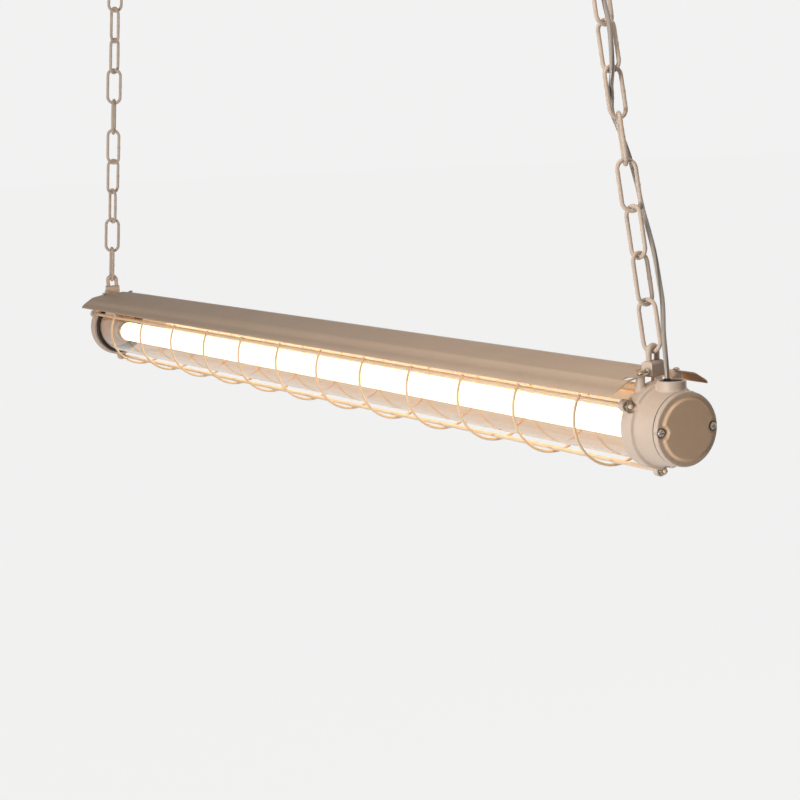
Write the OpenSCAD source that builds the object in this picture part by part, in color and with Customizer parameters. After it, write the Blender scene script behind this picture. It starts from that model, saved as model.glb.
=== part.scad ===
// Tubular cage pendant light hung on two link chains.
// The lamp lies along X, the chains rise to the ceiling, which is the plane Z = 0.
// Inside at_lamp() X = 0 is the rim plane of the near cover and the tube runs towards -X.

/* [Lamp tube] */
// Length of the lamp tube between the faces of its end caps
tube_len = 1199.4; // [1150:0.1:1250]
// Diameter of the lamp tube
tube_d = 26; // [24:0.5:28]
// Wall of the lamp tube's diffuser
diffuser_wall = 1; // [0.8:0.1:2]
// Length of each lamp cap
tube_cap_len = 14; // [10:0.5:18]
// Distance of the lamp axis below the glass axis
tube_drop = 5; // [3:0.5:7]
// Length of a lamp pin
pin_len = 7; // [6:0.5:7.5]
// Diameter of a lamp pin
pin_d = 2.4; // [2:0.1:2.6]
// Distance between the two pins of a cap
pin_pitch = 12.7; // [11:0.1:14]
// Width of the strip that carries the light sources
strip_w = 11; // [8:0.5:14]
// Thickness of that strip
strip_t = 1.6; // [1:0.1:2]

/* [Glass] */
// Outer diameter of the glass tube
glass_d = 68; // [66:0.5:70]
// Wall of the glass tube
glass_wall = 2; // [1.5:0.1:3]
// Depth of the glass tube in each end seal
glass_seat = 4; // [3:0.5:5]
// Wall of the rubber seal beside the glass
seal_wall = 1.5; // [1.2:0.1:2]
// Thickness of the rubber seal behind the end of the glass
seal_back = 2; // [1.5:0.1:3]
// How far the back of the seal reaches inside the glass
seal_lip = 4.5; // [1:0.1:5]

/* [End castings] */
// How far the end flanges stand out beyond the glass
flange_over = 5.6; // [5.2:0.1:7]
// Length of the near flange
flange_len = 15.5; // [14:0.5:20]
// How far the near housing at its cover lies inside the radius of the glass
body_inset = 0.7; // [0:0.1:1.5]
// How far the near housing at its flange stands out beyond the glass
root_over = 1.6; // [1:0.1:2.5]
// Length of the near housing between cover and flange
body_len = 23; // [22:0.5:30]
// Wall of the near housing
body_wall = 4; // [3.5:0.1:4.5]
// Length of the near cover up to its rim
cover_len = 5.5; // [4:0.5:8]
// Height of the raised middle of the cover
cover_rise = 3; // [1.5:0.1:3.5]
// Thickness of the gasket under the cover
gasket_t = 1; // [0.5:0.1:1.5]
// Distance of the two cover screws from the edge of the cover
cover_screw_in = 4.9; // [4.5:0.1:5.3]
// Length of the far flange
far_flange_len = 13; // [12:0.5:16]
// Depth of the domed back of the far cap
far_dome_len = 30; // [26:1:36]
// Outer radius of the cable gland boss
gland_r = 13; // [11:0.5:14]
// Wall of the gland boss
gland_wall = 2.5; // [2:0.1:3]
// Height of the gland boss above the near housing
gland_rise = 8.5; // [7:0.1:10]
// Distance of the gland axis behind the rim plane
gland_back = 20.8; // [20:0.1:22]
// Distance of the lamp cap faces from the flange faces
holder_gap = 20.5; // [18:0.5:24]

/* [Guard] */
// Diameter of the tie rods
rod_d = 4; // [3:0.2:5]
// How far the middle of the tie rods stands out beyond the flanges
rod_out = 1.8; // [1.6:0.1:2.9]
// Radius of the lugs on the flanges that hold the rods
lug_r = 5.6; // [5:0.1:6]
// Thickness of the lugs
lug_t = 6.5; // [5:0.5:8]
// Number of guard rings
ring_count = 12; // [4:1:12]
// Distance of the first guard ring from the near flange
ring_first = 62.6; // [40:0.2:90]
// Distance of the last guard ring from the far flange
ring_last = 77.8; // [40:0.2:90]
// Wire diameter of the guard rings
ring_wire = 2.8; // [2:0.1:3.4]
// Angle that each guard ring spans round the bottom
ring_span = 246; // [210:2:250]

/* [Reflector] */
// Thickness of the reflector sheet
sheet_t = 1; // [0.8:0.1:1.5]
// Height of the ridge above the flanges
ridge_up = 10.8; // [9.9:0.1:14]
// Distance of the side folds inside the radius of the flanges
fold_in = 2.6; // [0:0.1:5]
// Height of the side folds above the flanges
fold_up = 3.7; // [3.4:0.1:5.4]
// Width of the sloping rims across the lamp
rim_w = 19.4; // [15:0.2:25]
// Drop of the rims from their folds to their edges
rim_drop = 11.9; // [9:0.1:15]
// Distance of the reflector's near end behind the rim plane
sheet_near = 35; // [34.5:0.5:36]
// Overlap of the reflector's far end on the far flange
sheet_over = 6; // [5:0.5:8]
// Corner radius of the reflector
sheet_corner = 10; // [4:0.5:12]
// Width of the notch at each end
notch_w = 29; // [28.5:0.5:32]
// Depth of the notch at the far end
notch_len = 23; // [18:0.5:30]
// Gap between the near hanger block and the bottom of its notch
notch_gap = 1.2; // [1:0.1:3]
// Distance of the reflector screws from the middle
sheet_screw_y = 20; // [19.5:0.5:22]
// Diameter of the two round holes at the near end
sheet_hole_d = 9; // [5:0.5:10]

/* [Hangers] */
// Distance of the near hanger behind the rim plane
hanger_back = 46.5; // [46:0.1:48]
// Height of the chain's lowest contact above the underside of the blocks
hang_up = 24; // [23:0.5:29]
// Rod diameter of the U shaped loops
loop_d = 5.5; // [4.5:0.1:5.6]
// Inner width of the loops
loop_gap = 6; // [5.8:0.1:7]
// Width of the hanger blocks
block_w = 18.8; // [18:0.1:21]
// Length of the hanger blocks
block_len = 12; // [11:0.5:13]
// Height of the underside of the blocks above the flanges
block_up = 3.4; // [2.9:0.1:4.4]
// Height of the blocks
block_h = 14; // [12:0.5:16]
// Angle by which the near hanger is turned about the vertical
near_turn = 16; // [0:1:18]
// Angle by which the far hanger is turned the other way
far_turn = 16; // [0:1:20]

/* [Chains] */
// Pitch of a chain link, which is its inner length
pitch = 42; // [38:1:46]
// Wire diameter of the links
wire_d = 4; // [3.2:0.1:4.2]
// Outer width of a link
link_w = 21.3; // [20:0.1:22]
// Lean of both chains towards the middle of the ceiling
lean = 11.3; // [8:0.1:13]

/* [Ceiling fittings] */
// Height from the first link's contact to the ceiling
hook_drop = 28; // [26:0.5:36]
// Wire diameter of the hooks
hook_d = 4.5; // [4:0.1:5]
// Radius of the hooks along the wire's middle
hook_r = 8; // [7.5:0.1:9]
// Distance between the two screw holes of a ceiling plate
hole_pitch = 40; // [36:1:46]
// Diameter of the screw holes in the ceiling plates
hole_d = 4.5; // [4:0.1:5.5]
// Thickness of the ceiling plates
plate_t = 2.5; // [2:0.1:4]
// Width of the ceiling plates
plate_w = 56; // [54:1:64]

/* [Cable] */
// Diameter of the supply cable
cable_d = 4.6; // [4:0.1:5]

/* [Hidden] */
$fn = 64;

paint = "#d9c6b5";
paint_dark = "#95785e";
bare = "#b9b4ab";

// Small gaps
fit = 0.05;
run_gap = 0.2;
open_gap = 0.6;

// Number of links in each chain
link_count = 10;

// Positions along the lamp, behind the rim plane of the near cover
x_gasket = -cover_len - gasket_t;
x_body_end = -cover_len - gasket_t - body_len;
x_flange = x_body_end - flange_len;
x_glass_near = x_flange + glass_seat;
x_cap_near = x_flange - holder_gap;
x_cap_far = x_cap_near - tube_len;
x_far = x_cap_far - holder_gap;
x_glass_far = x_far - glass_seat;
x_far_root = x_far - far_flange_len;
x_far_end = x_far_root - far_dome_len;
glass_r = glass_d/2;
flange_r = glass_r + flange_over;
body_r = glass_r - body_inset;
body_root_r = glass_r + root_over;
cover_screw_r = body_r - cover_screw_in;
gland_top = body_r + gland_rise;
rod_r = flange_r + rod_out;
ridge_z = flange_r + ridge_up;
fold_y = flange_r - fold_in;
fold_z = flange_r + fold_up;
edge_y = fold_y + rim_w;
edge_z = fold_z - rim_drop;
block_z = flange_r + block_up;
hang_z = block_z + hang_up;
ring_pitch = (x_flange - x_far - ring_first - ring_last)/(ring_count - 1);
glass_in = glass_r - glass_wall;
seal_r = glass_r + seal_wall;
bore_r = body_r - body_wall;
x_plate_near = x_glass_near + seal_back;
x_plate_far = x_glass_far - seal_back;
holder_plate_t = 2;
diffuser_in = tube_d/2 - 0.5 - diffuser_wall;
strip_z = sqrt(diffuser_in*diffuser_in - strip_w*strip_w/4) - strip_t - 0.2;
holder_len = x_plate_near - x_cap_near - run_gap;
cover_mid_r = body_r - 5.5;
ring_mid_r = rod_r + rod_d/2 + run_gap + ring_wire/2;

// Hanging points and the line of each chain
hang_span = x_flange - x_far;
far_hang_back = hanger_back + hang_span + 19.5;
half = (hanger_back + far_hang_back)/2;
hang_x = half - hanger_back;
run = link_count*pitch;
hook_x = hang_x - run*sin(lean);
axis_z = -(hook_drop + run*cos(lean) + hang_z);
hang_level = axis_z + hang_z;

link_r = (link_w - wire_d)/2;
link_len = pitch + wire_d + run_gap;
loop_r = (loop_gap + loop_d)/2;
near_reach = run_gap/2 + loop_d/2;
far_reach = open_gap - run_gap/2 + loop_d/2;
near_loop_x = -hanger_back - near_reach*sin(lean);
far_loop_x = -far_hang_back + far_reach*sin(lean);
near_notch_len = notch_gap - near_loop_x - sheet_near
    + block_len/2*cos(near_turn) + block_w/2*sin(near_turn);

// Turn of each link about its own chain, from the ceiling down
near_twist = [90, 0, 92, 20, 88, -30, 72, 8, 98, 22];
far_twist = [80, 10, 122, 58, -32, 38, 105, 3, 68, -12];

// Terminal block, its two cores, and the pads and screws inside the near housing
terminal_x = -30;
terminal_len = 14;
terminal_w = 18;
terminal_h = 12;
terminal_low = 17;
core_y = 3.5;
core_r = 1.1;
lead_z = -11;
pad_z = -(bore_r - 7.3);
pad_y = 11;
pad_w = 9;
pad_h = 4.5;
cover_boss_len = 19.5;
cover_hole_len = 15.5;
cover_screw_len = 18;

// Sheet line of the reflector, and the depth of the cuts through it
cut_z = edge_z - 6;
cut_h = ridge_z - edge_z + 12;
fold_slope = (ridge_z - fold_z)/fold_y;
sheet_len = -sheet_near - (x_far - sheet_over);
function under_sheet(y) = ridge_z - fold_slope*y - sheet_t*sqrt(1 + fold_slope*fold_slope);
screw_near = x_flange + 5.5;
screw_far = x_far - 2.5;
rod_turns = [-120, 0, 120];
nut_t = 3.2;
nut_r = 4.04;
washer_t = 0.8;
rod_near = x_flange + lug_t + washer_t + nut_t + 3;
rod_far = x_far - lug_t - washer_t - nut_t - 3;

// Points of the cable beside the near chain: along the lamp, across it, above the glass axis
cable_low = [[-24, -2, 36], [-24, -2, 42], [-25, -2, 54], [-28, -1, 70], [-32.5, 1.5, 84], [-40, 7, 107]];
cable_mid = [
    [-40, 7, 107], [-46, 8.8, 125], [-53.5, 9.8, 150], [-60.6, 9.6, 170], [-70.5, 10.6, 190],
    [-78, 12, 208], [-88, 12, 232], [-95.5, 10.5, 250], [-99.5, 7, 264], [-99.5, 1.5, 277],
    [-95.2, -1.5, 290], [-93, -3.4, 300], [-89.5, -4.4, 314], [-90.5, -4, 335],
    [-94, -3.4, 356], [-97, -6, 376], [-106, -7.5, 420], [-110.5, -7.5, 439]
];
cable_high = [[-110.5, -7.5, 439], [-113, -6, 452], [-113.8, -4, 464], [-113.8, -3, 474], [-113.8, -3, 480]];
grip_x = -113.8;
grip_y = -3;
grip_z = 480;

module at_lamp() translate([half, 0, axis_z]) children();

// Profile of radius and distance along the lamp, turned about the lamp's axis
module turned(points) rotate([0, 90, 0]) rotate_extrude() polygon(points);

module rod_x(x0, x1, r) translate([x0, 0, 0]) rotate([0, 90, 0]) cylinder(h = x1 - x0, r = r);

// Puts children on the circle of the tie rods, with 0 at the bottom
module on_rods() for (a = rod_turns) rotate([a, 0, 0]) translate([0, 0, -rod_r]) children();

// Points of an arc about [cx, cy] from angle a0 to a1
function arc(cx, cy, r, a0, a1, n = 6) =
    [for (i = [0:n]) [cx + r*cos(a0 + (a1 - a0)*i/n), cy + r*sin(a0 + (a1 - a0)*i/n)]];

// A chain link round its own middle, with its length along Z and its width along X
module link_shape() {
    leg = (link_len - 2*link_r)/2;
    for (s = [-1, 1]) {
        translate([s*link_r, 0, -leg]) cylinder(h = 2*leg, d = wire_d);
        translate([0, 0, s*leg]) rotate([90, 0, 0]) rotate([0, 0, s > 0 ? 0 : 180])
            rotate_extrude(angle = 180) translate([link_r, 0]) circle(d = wire_d);
    }
}

// Link k of a chain counted from the ceiling; side is 1 near and -1 far
module chain_link(side, k, twist)
    translate([side*hang_x, 0, hang_level]) rotate([0, -side*lean, 0])
        translate([0, 0, (link_count - k - 0.5)*pitch]) rotate([0, 0, twist]) link_shape();

// Flat plate with round corners, from x0 to x1
module round_plate(x0, x1, w, r, t) {
    translate([x0 + r, -w/2, -t]) cube([x1 - x0 - 2*r, w, t]);
    translate([x0, -w/2 + r, -t]) cube([x1 - x0, w - 2*r, t]);
    for (x = [x0 + r, x1 - r], y = [-w/2 + r, w/2 - r]) translate([x, y, -t]) cylinder(h = t, r = r);
}

module ceiling_plate(side, x0, x1) translate([side*hook_x, 0, 0]) difference() {
    round_plate(x0, x1, plate_w, 6, plate_t);
    for (y = [-1, 1]) translate([0, y*hole_pitch/2, -plate_t - 1]) cylinder(h = plate_t + 2, d = hole_d);
    translate([side*sin(lean)*(run_gap/2 + hook_d/2 - hook_r), 0, -plate_t - 1])
        cylinder(h = plate_t + 2, d = hook_d + 2*fit);
}

// Eye hook: stem up to the plate, and an open ring that holds the first link
module eye_hook(side) {
    down = run_gap/2 + hook_d/2;
    ring_x = side*(hook_x + sin(lean)*(down - hook_r));
    ring_z = -hook_drop - cos(lean)*(down - hook_r);
    translate([ring_x, 0, ring_z]) {
        rotate([90, 0, 0]) rotate([0, 0, side > 0 ? 90 : 150]) rotate_extrude(angle = 300)
            translate([hook_r, 0]) circle(d = hook_d);
        translate([0, 0, hook_r]) cylinder(h = -ring_z - hook_r - 0.2, d = hook_d);
        translate([0, 0, -ring_z - plate_t - 2.5]) cylinder(h = 2.5, r = 5);
    }
}

module near_ceiling_plate() color(paint) ceiling_plate(1, -12, 26);
module far_ceiling_plate() color(paint) ceiling_plate(-1, -12, 12);
module near_hook() color(paint) eye_hook(1);
module far_hook() color(paint) eye_hook(-1);
module ceiling_cable_grip() color("#3a3733") at_lamp() translate([grip_x, grip_y, 0]) union() {
    translate([0, 0, grip_z]) cylinder(h = -axis_z - plate_t - grip_z, r = 5);
    translate([0, 0, -axis_z - plate_t - 5]) cylinder(h = 5, r = 8, $fn = 6);
}

module near_top_link() color(paint) chain_link(1, 0, near_twist[0]);
module near_chain() color(paint) for (k = [1:link_count - 2]) chain_link(1, k, near_twist[k]);
module near_bottom_link() color(paint) chain_link(1, link_count - 1, near_twist[link_count - 1]);
module far_top_link() color(paint) chain_link(-1, 0, far_twist[0]);
module far_chain() color(paint) for (k = [1:link_count - 2]) chain_link(-1, k, far_twist[k]);
module far_bottom_link() color(paint) chain_link(-1, link_count - 1, far_twist[link_count - 1]);

// Radius of the far cap's domed back at a share t of its length
function dome_r(t) = (body_r + 1.2)*sqrt(1 - pow(t, 2.4));

// Room under the reflector sheet, which trims the bosses that carry it
module under_reflector(x0, x1) translate([x0, 0, 0]) rotate([90, 0, 90]) linear_extrude(x1 - x0)
    polygon([[-fold_y, 0], [fold_y, 0], [fold_y, under_sheet(fold_y) - fit], [0, under_sheet(0) - fit],
        [-fold_y, under_sheet(fold_y) - fit]]);

module sheet_bosses(x) intersection() {
    for (y = [-1, 1]) translate([x, y*sheet_screw_y, flange_r - 7]) cylinder(h = ridge_z - flange_r + 7, r = 4.2);
    under_reflector(x - 8, x + 8);
}

module sheet_screw_holes(x, r) for (y = [-1, 1]) translate([x, y*sheet_screw_y, flange_r - 2])
    cylinder(h = ridge_z - flange_r + 4, r = r);

module near_housing() color(paint) at_lamp() difference() {
    union() {
        turned(concat([[bore_r, x_gasket], [body_r, x_gasket], [body_root_r, x_body_end + 4]],
            arc(body_root_r + 3, x_body_end + 3.2, 3, 180, 270),
            arc(flange_r - 1, x_body_end - 1, 1, 90, 0, 4),
            arc(flange_r - 1, x_flange + 1, 1, 0, -90, 4), [[bore_r, x_flange]]));
        intersection() {
            rod_x(x_plate_near, x_gasket, bore_r + 1);
            for (y = [-1, 1]) translate([0, y*cover_screw_r, 0]) rod_x(x_gasket - cover_boss_len, x_gasket, 5);
        }
        on_rods() rod_x(x_flange, x_flange + lug_t, lug_r);
        sheet_bosses(screw_near);
        translate([-gland_back, 0, bore_r - 4]) cylinder(h = gland_top - bore_r + 4, r = gland_r);
        translate([x_flange, -4.5, flange_r - 3]) cube([6, 9, block_z - flange_r + 3]);
        translate([terminal_x, -terminal_w/3, -bore_r - 1])
            cube([terminal_len, terminal_w*2/3, bore_r + 1 - terminal_low]);
        translate([terminal_x, pad_y, pad_z - pad_h]) cube([pad_w, pad_w, pad_h]);
    }
    rod_x(x_flange - 1, x_plate_near, seal_r + fit);
    on_rods() {
        rod_x(x_flange - 1, x_flange + lug_t + 1, rod_d/2 + fit);
        rod_x(x_flange + lug_t, x_body_end + 7, lug_r);
    }
    translate([-gland_back, 0, bore_r - 6]) cylinder(h = gland_top - bore_r + 7, r = gland_r - gland_wall);
    for (y = [-1, 1]) translate([0, y*cover_screw_r, 0]) rod_x(x_gasket - cover_hole_len, x_gasket + 1, 2 + fit);
    sheet_screw_holes(screw_near, 1.75 + fit);
    translate([terminal_x + pad_w/2, pad_y + pad_w/2, pad_z - 4]) cylinder(h = 5, r = 1.75 + fit);
}

module near_cover() color(paint_dark) at_lamp() difference() {
    turned(concat([[0, -cover_len], [body_r, -cover_len]], arc(body_r - 1.5, -1.5, 1.5, 0, 90),
        [[cover_mid_r + 1.2, 0]], arc(cover_mid_r + 1.2, 1.2, 1.2, 270, 180, 3),
        arc(cover_mid_r - cover_rise*0.6, cover_rise*0.4, cover_rise*0.6, 0, 90), [[0, cover_rise]]));
    for (y = [-1, 1]) translate([0, y*cover_screw_r, 0]) {
        rod_x(0, cover_rise + 1, 6.2);
        rod_x(-0.8, 1, 4.4);
        rod_x(-cover_len - 1, 1, 2 + fit);
    }
}

module cover_gasket() color("#2c2a28") at_lamp() difference() {
    rod_x(x_gasket, -cover_len, body_r - 0.3);
    rod_x(x_gasket - 1, 0, bore_r - 6);
    for (y = [-1, 1]) translate([0, y*cover_screw_r, 0]) rod_x(x_gasket - 1, 0, 2 + fit);
}

// Screw along X whose head stands on x, with its shank towards -X
module screw_x(x, head_r, head_h, shank_r, shank) {
    translate([x, 0, 0]) turned(concat([[0, 0], [head_r, 0]],
        arc(head_r - head_h*0.7, head_h*0.3, head_h*0.7, 0, 90, 4), [[0, head_h]]));
    rod_x(x - shank, x, shank_r);
}

module cover_screws() color(bare) at_lamp() for (y = [-1, 1]) translate([0, y*cover_screw_r, 0])
    screw_x(-0.8, 3.6, 2.4, 2, cover_screw_len);

module far_cap() color(paint) at_lamp() difference() {
    union() {
        turned(concat([[0, x_far]], arc(flange_r - 1, x_far - 1, 1, 90, 0, 4),
            arc(flange_r - 1, x_far_root + 1, 1, 0, -90, 4),
            arc(dome_r(0) + 2, x_far_root - 2, 2, 90, 180, 4),
            [for (i = [1:15]) let(t = i/16) [dome_r(t), x_far_root - 2 - t*(far_dome_len - 2)]],
            [[0, x_far_end]]));
        on_rods() rod_x(x_far - lug_t, x_far, lug_r);
        sheet_bosses(screw_far);
        translate([far_loop_x, 0, flange_r - 14]) cylinder(h = block_z - flange_r + 14, r = 5.5);
    }
    rod_x(x_plate_far, x_far + 1, seal_r + fit);
    rod_x(x_plate_far - holder_plate_t, x_far, bore_r);
    rod_x(x_far_root - 10, x_far, bore_r - 3);
    on_rods() {
        rod_x(x_far - lug_t - 1, x_far + 1, rod_d/2 + fit);
        rod_x(x_far_root - 6, x_far - lug_t, lug_r);
    }
    sheet_screw_holes(screw_far, 1.75 + fit);
}

// Rubber channel that takes the end of the glass; its back lies at x and it opens towards dir
module seal(x, dir) at_lamp() translate([x, 0, 0]) scale([dir, 1, 1]) turned([
    [glass_in - seal_lip, 0], [seal_r, 0], [seal_r, -seal_back - glass_seat + 0.3],
    [glass_r + fit, -seal_back - glass_seat + 0.3], [glass_r + fit, -seal_back + fit],
    [glass_in - fit, -seal_back + fit], [glass_in - fit, -seal_back - glass_seat + 0.8],
    [glass_in - 0.8, -seal_back - glass_seat + 0.8], [glass_in - 0.8, -seal_back], [glass_in - seal_lip, -seal_back]]);

module near_seal() color("#1d1b1a") seal(x_plate_near, 1);
module far_seal() color("#1d1b1a") seal(x_plate_far, -1);

module glass_tube() color("#e8d9c2", 0.35) at_lamp() difference() {
    rod_x(x_glass_far, x_glass_near, glass_r);
    rod_x(x_glass_far - 1, x_glass_near + 1, glass_in);
}

module tie_rod(turn) at_lamp() rotate([turn, 0, 0]) translate([0, 0, -rod_r])
    rod_x(rod_far, rod_near, rod_d/2);
module front_rod() color(paint) tie_rod(rod_turns[0]);
module back_rod() color(paint) tie_rod(rod_turns[2]);
module bottom_rod() color(paint) tie_rod(rod_turns[1]);

module rod_nuts() color(bare) at_lamp() on_rods()
    for (x = [x_flange + lug_t + washer_t, x_far - lug_t - washer_t - nut_t]) translate([x, 0, 0])
        rotate([0, 90, 0]) difference() {
            cylinder(h = nut_t, r = nut_r, $fn = 6);
            translate([0, 0, -1]) cylinder(h = nut_t + 2, r = rod_d/2 + fit);
        }

module rod_washers() color(bare) at_lamp() on_rods()
    for (x = [x_flange + lug_t, x_far - lug_t - washer_t]) difference() {
        rod_x(x, x + washer_t, rod_d/2 + 2.5);
        rod_x(x - 1, x + washer_t + 1, rod_d/2 + fit);
    }

module guard_rings() color(paint) at_lamp() for (k = [0:ring_count - 1])
    translate([x_flange - ring_first - k*ring_pitch, 0, 0]) rotate([0, 90, 0]) rotate([0, 0, -ring_span/2])
        rotate_extrude(angle = ring_span) translate([ring_mid_r, 0]) circle(d = ring_wire, $fn = 24);

// Section of the reflector sheet across the lamp
module sheet_section() polygon([
    [-edge_y, edge_z], [-fold_y, fold_z], [0, ridge_z], [fold_y, fold_z], [edge_y, edge_z],
    [edge_y - sheet_t*0.84, edge_z - sheet_t*0.54], [fold_y - sheet_t*0.35, fold_z - sheet_t*0.98],
    [0, ridge_z - sheet_t*1.02], [-fold_y + sheet_t*0.35, fold_z - sheet_t*0.98],
    [-edge_y + sheet_t*0.84, edge_z - sheet_t*0.54]]);

// Square corner with its quarter round left out, which rounds a corner at the origin
module corner_bite(r) difference() {
    translate([-1, -1]) square(r + 1);
    translate([r, r]) circle(r = r);
}

// Cut of depth l from the sheet's end at 0 towards -X, with a half round bottom
module notch(l) {
    translate([-l + notch_w/4, -notch_w/2, 0]) cube([l, notch_w, cut_h]);
    translate([-l + notch_w/4, 0, 0]) intersection() {
        cylinder(h = cut_h, r = notch_w/2 + 0.001);
        translate([-notch_w/4, -notch_w, -1]) cube([notch_w, 2*notch_w, cut_h + 2]);
    }
}

module reflector() color(paint) at_lamp() difference() {
    translate([-sheet_near - sheet_len, 0, 0]) rotate([90, 0, 90]) linear_extrude(sheet_len) sheet_section();
    for (x = [0, 1], y = [0, 1]) translate([-sheet_near - x*sheet_len, (y*2 - 1)*edge_y, cut_z])
        mirror([1 - x, 0, 0]) mirror([0, y, 0]) linear_extrude(cut_h) corner_bite(sheet_corner);
    translate([-sheet_near, 0, cut_z]) notch(near_notch_len);
    translate([-sheet_near - sheet_len, 0, cut_z]) mirror([1, 0, 0]) notch(notch_len);
    sheet_screw_holes(screw_near, 1.75 + fit);
    sheet_screw_holes(screw_far, 1.75 + fit);
    for (y = [-1, 1]) translate([-sheet_near - 7, y*(fold_y - 6), cut_z]) cylinder(h = cut_h, d = sheet_hole_d);
}

module reflector_screws() color(bare) at_lamp() for (x = [screw_near, screw_far], y = [-1, 1])
    translate([x, y*sheet_screw_y, ridge_z - fold_slope*(sheet_screw_y - 3.2) + fit]) rotate([0, -90, 0])
        screw_x(0, 3.2, 2, 1.75, 7);

// Hanger block with round upper edges, a hole for each leg of the loop and one for its side screw
module hanger_block(x, turn) at_lamp() translate([x, 0, 0]) rotate([0, 0, turn]) difference() {
    translate([0, block_w/2, 0]) rotate([90, 0, 0]) linear_extrude(block_w) union() {
        translate([-block_len/2, block_z]) square([block_len, block_h - 4]);
        translate([-block_len/2 + 4, block_z]) square([block_len - 8, block_h]);
        for (s = [-1, 1]) translate([s*(block_len/2 - 4), block_z + block_h - 4]) circle(r = 4);
    }
    for (y = [-1, 1]) translate([0, y*loop_r, block_z + block_h - 6]) cylinder(h = 8, d = loop_d + 2*fit);
    translate([0, 1, block_z + 4.5]) rotate([90, 0, 0]) cylinder(h = block_w, r = 1.6 + fit);
}

// U shaped loop whose crown centre stands at z
module hanger_loop(x, turn, z) at_lamp() translate([x, 0, 0]) rotate([0, 0, turn]) {
    translate([0, 0, z - loop_r]) rotate([90, 0, 90]) rotate_extrude(angle = 180)
        translate([loop_r, 0]) circle(d = loop_d);
    for (y = [-1, 1]) translate([0, y*loop_r, block_z + block_h - 6 + fit])
        cylinder(h = z - loop_r - block_z - block_h + 6 - fit, d = loop_d);
}

module near_hanger_block() color(paint) hanger_block(near_loop_x, near_turn);
module far_hanger_block() color(paint) hanger_block(far_loop_x, -far_turn);
module near_hanger_loop() color(paint)
    hanger_loop(near_loop_x, near_turn, hang_z + near_reach*cos(lean));
module far_hanger_loop() color(paint)
    hanger_loop(far_loop_x, -far_turn, hang_z + far_reach*cos(lean));
module hanger_screws() color(bare) at_lamp()
    for (h = [[near_loop_x, near_turn], [far_loop_x, -far_turn]]) translate([h[0], 0, 0]) rotate([0, 0, h[1]])
        translate([0, -block_w/2, block_z + 4.5]) rotate([0, 0, -90]) screw_x(0, 3.4, 2.2, 1.6, 9);

// Round plate behind each seal that carries a lampholder
module holder_plate(x, leads) at_lamp() difference() {
    rod_x(x, x + holder_plate_t, bore_r - fit);
    if (leads) for (y = [-1, 1]) translate([0, y*core_y, lead_z]) rod_x(x - 1, x + holder_plate_t + 1, core_r + 0.2);
}

module near_holder_plate() color(paint) holder_plate(x_plate_near, true);
module far_holder_plate() color(paint) holder_plate(x_plate_far - holder_plate_t, false);

// Lampholder with a round track in which the lamp pins turn; its foot lies at x0 and its face at x1
module lampholder(x0, x1) {
    s = x1 > x0 ? 1 : -1;
    at_lamp() translate([x0, 0, -tube_drop]) scale([s, 1, 1]) turned(concat(
        [[0, 0], [9.5, 0], [9.5, holder_len - 11], [tube_d/2 + 0.5, holder_len - 9.5]],
        arc(tube_d/2 - 0.5, holder_len - 1, 1, 0, 90, 4),
        [[pin_pitch/2 + pin_d/2 + 0.4, holder_len], [pin_pitch/2 + pin_d/2 + 0.4, holder_len - pin_len - 1],
        [pin_pitch/2 - pin_d/2 - 0.4, holder_len - pin_len - 1], [pin_pitch/2 - pin_d/2 - 0.4, holder_len],
        [0, holder_len]]));
}

module near_lampholder() color("#efece6") lampholder(x_plate_near, x_cap_near);
module far_lampholder() color("#efece6") lampholder(x_plate_far, x_cap_far);

// Two curved contacts on the floor of each holder's track
module holder_contacts() color("#c7a96b") at_lamp() translate([0, 0, -tube_drop])
    for (e = [[x_plate_near, -1], [x_plate_far, 1]], a = [0, 180]) translate([e[0], 0, 0])
        scale([e[1], 1, 1]) rotate([0, 90, 0]) rotate([0, 0, 55 + a]) rotate_extrude(angle = 70)
            translate([pin_pitch/2 - pin_d/2, holder_len - pin_len - 1]) square([pin_d, 0.5]);

module terminal_block() color("#e9e4d8") at_lamp() difference() {
    translate([terminal_x, -terminal_w/2, -terminal_low]) cube([terminal_len, terminal_w, terminal_h]);
    for (y = [-1, 1]) translate([-gland_back, y*core_y, terminal_h - terminal_low - 3]) cylinder(h = 4, r = core_r + 0.2);
}

module supply_cores() color("#7a5a3a") at_lamp() for (y = [-1, 1])
    translate([-gland_back, y*core_y, terminal_h - terminal_low - 2.9])
        cylinder(h = bore_r - terminal_h + terminal_low + 2.9, r = core_r);

module holder_leads() color("#7a5a3a") at_lamp() for (y = [-1, 1])
    translate([0, y*core_y, lead_z]) rod_x(x_plate_near, terminal_x, core_r);

module earth_screw() color("#c9a24a") at_lamp() translate([terminal_x + pad_w/2, pad_y + pad_w/2, pad_z]) rotate([0, -90, 0])
    screw_x(0, 3.4, 2.4, 1.75, 4);

module gland_bush() color("#2c2a28") at_lamp() translate([-gland_back, 0, bore_r])
    cylinder(h = cable_low[0][2] - bore_r - fit, r = gland_r - gland_wall - fit);

module diffuser() color("#fff6e2") at_lamp() translate([0, 0, -tube_drop]) difference() {
    rod_x(x_cap_far + 3, x_cap_near - 3, tube_d/2 - 0.5);
    rod_x(x_cap_far, x_cap_near, diffuser_in);
}

// Cup shaped lamp cap whose face lies at x and whose mouth opens towards dir
module tube_cap(x, dir) at_lamp() translate([x, 0, -tube_drop]) scale([dir, 1, 1]) turned(concat(
    [[0, 0]], arc(tube_d/2 - 0.8, -0.8, 0.8, 90, 0, 4),
    [[tube_d/2, -tube_cap_len], [tube_d/2 - 0.5 + fit, -tube_cap_len], [tube_d/2 - 0.5 + fit, -2.9], [0, -2.9]]));

module near_tube_cap() color("#cfc8bd") tube_cap(x_cap_near, 1);
module far_tube_cap() color("#cfc8bd") tube_cap(x_cap_far, -1);

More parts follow.
